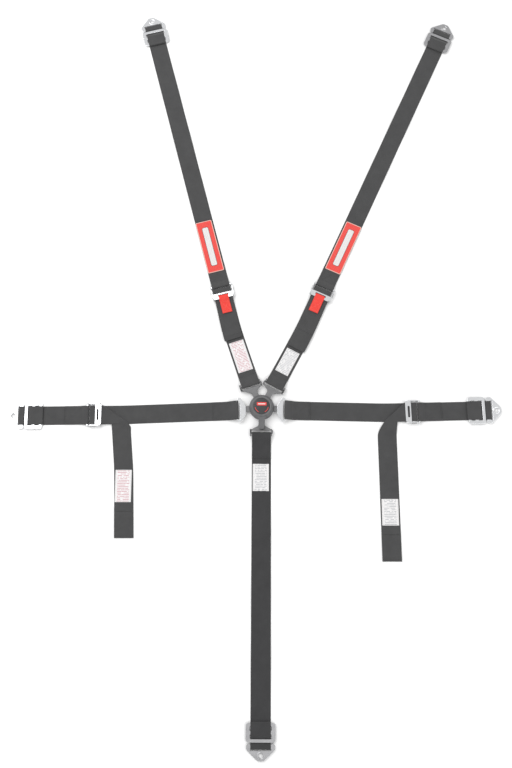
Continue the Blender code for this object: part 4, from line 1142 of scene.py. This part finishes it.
def patch(run):
    """Embroidered red patch with an overlocked pale edge and a plain white bar instead of lettering."""
    side = run.side
    middle = run.extent(side + "_patch")[0][0] + PATCH_HALF_LENGTH
    home, size = node_frame(side + "_patch", run.at(middle)[1])
    half_x, half_y = size.x / 2, size.y / 2
    body = side + "_anchor_body"
    outline = rounded_box(-half_x, half_x, -half_y, half_y, 2.0 * MM)
    cloth = side + "_patch_cloth"
    trim(cloth, outline, 0.0, size.z, PATCH_RED, home, body, "red", side + "_patch")
    path = [home @ Vector((x, y, size.z * 0.6)) for x, y in outline]
    edge = welt(side + "_patch_edge", path, 1.25 * MM, 0.9 * MM, THREAD_PALE)
    on_body(edge, body, "label")
    end = half_x * PATCH_BAR_SHARE
    bar = rounded_box(-end, end, -PATCH_BAR_HALF, PATCH_BAR_HALF, 4.0 * MM)
    top = size.z + 0.45 * MM
    trim(side + "_patch_bar", bar, size.z, top, PATCH_WHITE, home, body, "label")
    path = [home @ Vector((x, y, size.z + 0.1 * MM)) for x, y in bar]
    rim = welt(side + "_patch_bar_edge", path, 0.8 * MM, 0.7 * MM, THREAD_DARK)
    on_body(rim, body, "webbing")


# ---- hardware


def bright(side):
    """Finish of a strap's anchor hardware, and its slot."""
    if side in ("crotch", "right_shoulder"):
        return ZINC, "zinc"
    return CHROME, "chrome"


def tongue(run):
    """Stamped tongue with rounded edges, and the bright loop of a lap strap."""
    side = run.side
    body = side + "_tongue_body"
    cad_copy(side + "_tongue", side + "_tongue_plate", 0.7 * MM, TONGUE, body, "tongue_grey")
    if "lap" in side:
        cad_copy(side + "_tongue_loop", side + "_loop_plate", 0.8 * MM, CHROME, body, "chrome")
        return
    low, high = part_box(side + "_tongue")
    right_wide, left_wide = (EAR_NARROW, EAR_WIDE) if side.startswith("left") else (EAR_WIDE, EAR_NARROW)
    ears = (
        ("_tongue_ear_a", -EAR_INNER - right_wide, -EAR_INNER),
        ("_tongue_ear_b", EAR_INNER, EAR_INNER + left_wide),
    )
    for name, near, far in ears:
        outline = rounded_box(EAR_FROM, EAR_TO, near, far, min(2.5 * MM, 0.45 * (far - near)))
        trim(side + name, outline, low.z, high.z, TONGUE, run.matrix(0.0), body, "tongue_grey")


def anchor_hardware(run):
    """Three-bar slide, and the bracket with the rolled collar of its bolt hole."""
    side = run.side
    finish, slot = bright(side)
    body = "crotch_strap_body" if side == "crotch" else side + "_anchor_body"
    tilting = side + "_bracket_body"
    cad_copy(side + "_slide", side + "_slide_plate", 0.8 * MM, finish, body, slot)
    cad_copy(side + "_bracket", side + "_bracket_plate", 0.9 * MM, finish, tilting, slot)
    half = BRACKET_THICKNESS / 2
    bore = BOLT_HOLE_RADIUS - 0.9 * MM
    rim = BOLT_HOLE_RADIUS + 2.4 * MM
    profile = [(bore, -half - 0.25 * MM), (rim - 0.5 * MM, -half - 0.25 * MM), (rim, -half + 0.2 * MM)]
    profile += [(rim, half), (rim - 0.5 * MM, half + 0.4 * MM), (rim - 1.4 * MM, half + 0.5 * MM)]
    profile += [(bore + 0.6 * MM, half + 0.2 * MM), (bore, half - 0.3 * MM)]
    home = run.matrix(run.pivot + BOLT_AT, run.pivot_z)
    collar = turned(side + "_bolt_collar", profile, 40, finish, home)
    on_body(collar, tilting, slot)


def adjuster(run):
    """Pressed adjuster frame and its knurled bar."""
    side = run.side
    case, bar = side + "_adjuster_case", side + "_knurled_bar"
    cad_copy(side + "_adjuster_frame", case, 0.35 * MM, CHROME, side + "_adjuster_body", "chrome", 2)
    cad_copy(side + "_adjuster_bar", bar, 0.15 * MM, STEEL, side + "_grip_body", "steel", 2)


def buckle():
    """Cast casing, ring with its lever, badge, and the screws in the back."""
    cad_copy("buckle_housing", "buckle_case", 0.5 * MM, CAST, "buckle", "buckle_dark")
    cad_copy("buckle_base", "buckle_back", 0.4 * MM, CAST, "buckle", "buckle_dark", 2)
    cad_copy("release_lever", "buckle_ring", 0.4 * MM, CAST, "lever", "buckle_dark")
    cad_copy("lever_badge", "buckle_badge", 0.3 * MM, BADGE, "lever", "badge")
    bar = rounded_box(-13.0 * MM, 13.0 * MM, 1.5 * MM, 10.5 * MM, 1.6 * MM)
    low, high = BADGE_TOP - 0.8 * MM, BADGE_TOP + 0.1 * MM
    trim("badge_bar", bar, low, high, ENAMEL, None, "lever", "red")
    line = rounded_box(-10.0 * MM, 10.0 * MM, 4.6 * MM, 7.4 * MM, 1.0 * MM)
    low, high = BADGE_TOP, BADGE_TOP + 0.15 * MM
    trim("badge_line", line, low, high, PATCH_WHITE, None, "lever", "label")
    for name, start in (("badge_arc_left", 190.0), ("badge_arc_right", 298.0)):
        outer, inner = BADGE_ARC_RADII
        strip = arc((0.0, 0.0), outer, start, start + BADGE_ARC_DEG, 16)
        strip += arc((0.0, 0.0), inner, start + BADGE_ARC_DEG, start, 16)
        inlay = crescent(name, strip, BADGE_TOP - 0.5 * MM, BADGE_TOP - 0.05 * MM)
        on_body(inlay, "lever", "red")
    head = [(0.0, 1.5 * MM), (3.2 * MM, 1.5 * MM), (3.2 * MM, 0.6 * MM), (2.8 * MM, 0.2 * MM)]
    head += [(1.7 * MM, 0.2 * MM), (1.5 * MM, 0.4 * MM), (1.5 * MM, 1.1 * MM), (0.0, 1.1 * MM)]
    for k, angle in enumerate(SCREWS_DEG):
        turn = Matrix.Rotation(math.radians(angle), 4, "Z")
        spot = turn @ Matrix.Translation((SCREW_CIRCLE, 0.0, 0.0))
        on_body(turned(f"back_screw_{k + 1}", head, 24, STEEL, spot), "buckle", "steel")


def crescent(name, outline, low, high):
    """Thin curved inlay between two arcs."""
    count = len(outline)
    half = count // 2
    verts = [Vector((x, y, z)) for z in (low, high) for x, y in outline]
    faces = []
    for k in range(half - 1):
        quad = (k, k + 1, count - 2 - k, count - 1 - k)
        faces.append(quad)
        faces.append(tuple(index + count for index in reversed(quad)))
    for k in range(count):
        following = (k + 1) % count
        faces.append((k, following, following + count, k + count))
    return built(name, verts, faces, ENAMEL)


def inner_parts():
    """Steel finish for the CAD parts inside the buckle."""
    inside = ["centre_pivot", "return_spring", "crotch_rivet", "cam_plate"]
    inside += [side + "_latch_pin" for side in SIDES if side != "crotch"]
    for node in inside:
        materials = NODES[node].data.materials
        materials.clear()
        materials.append(STEEL)


# ---- studio


def studio():
    """Pale floor, soft light and the camera, which looks down on the harness."""
    edge = rounded_box(-FLOOR_HALF, FLOOR_HALF, -FLOOR_HALF, FLOOR_HALF, 0.5)
    sheet_plate("floor", edge, -0.02, -0.0002, floor_finish())
    scene = bpy.context.scene
    scene.view_settings.view_transform = "Standard"
    world = bpy.data.worlds.new("studio")
    scene.world = world
    world.use_nodes = True
    backdrop = world.node_tree.nodes["Background"]
    backdrop.inputs["Color"].default_value = (1.0, 1.0, 1.0, 1.0)
    backdrop.inputs["Strength"].default_value = WORLD_STRENGTH
    for name, (spot, size, power) in LIGHTS.items():
        lamp = bpy.data.lights.new(name, "AREA")
        lamp.size = size
        lamp.energy = power
        lit = bpy.data.objects.new(name, lamp)
        lit.location = spot
        lit.rotation_euler = (Vector(LIGHT_AIM) - lit.location).to_track_quat("-Z", "Y").to_euler()
        scene.collection.objects.link(lit)
    lens = bpy.data.cameras.new("camera")
    lens.sensor_width = 36.0
    lens.lens = LENS_MM
    camera = bpy.data.objects.new("camera", lens)
    camera.location = CAMERA_PLACE
    camera.rotation_euler = (math.radians(CAMERA_TILT_DEG), 0.0, 0.0)
    scene.collection.objects.link(camera)
    scene.camera = camera


def floor_finish():
    """White sheeting, just uneven enough to read as a surface."""
    finish = Finish("floor_white", (0.9, 0.9, 0.9), 0.7)
    cloud = finish.noise(finish.place(), 0.004, 3.0)
    finish.look(Base_Color=finish.blend_colour(cloud, (0.88, 0.88, 0.88), (0.92, 0.92, 0.92)))
    return finish.material


# ---- the whole harness

studio()
buckle()
inner_parts()
for run in RUNS.values():
    tongue(run)
    anchor_hardware(run)
    if run.side == "crotch":
        crotch_strap(run)
        label("crotch", "crotch_strap_body", run.out, LABEL_GREY)
        continue
    strap_path = adjustable_strap(run)
    anchor_strap(run)
    adjuster(run)
    finish = LABEL_PINK if run.side.startswith("left") else LABEL_GREY
    if "lap" in run.side:
        lap_tail(run)
        label(run.side, run.side + "_tail_body", Vector((0.0, -1.0)), finish)
    else:
        shoulder_tail(run)
        release_tab(run)
        patch(run)
        shoulder_label(run, strap_path, finish)
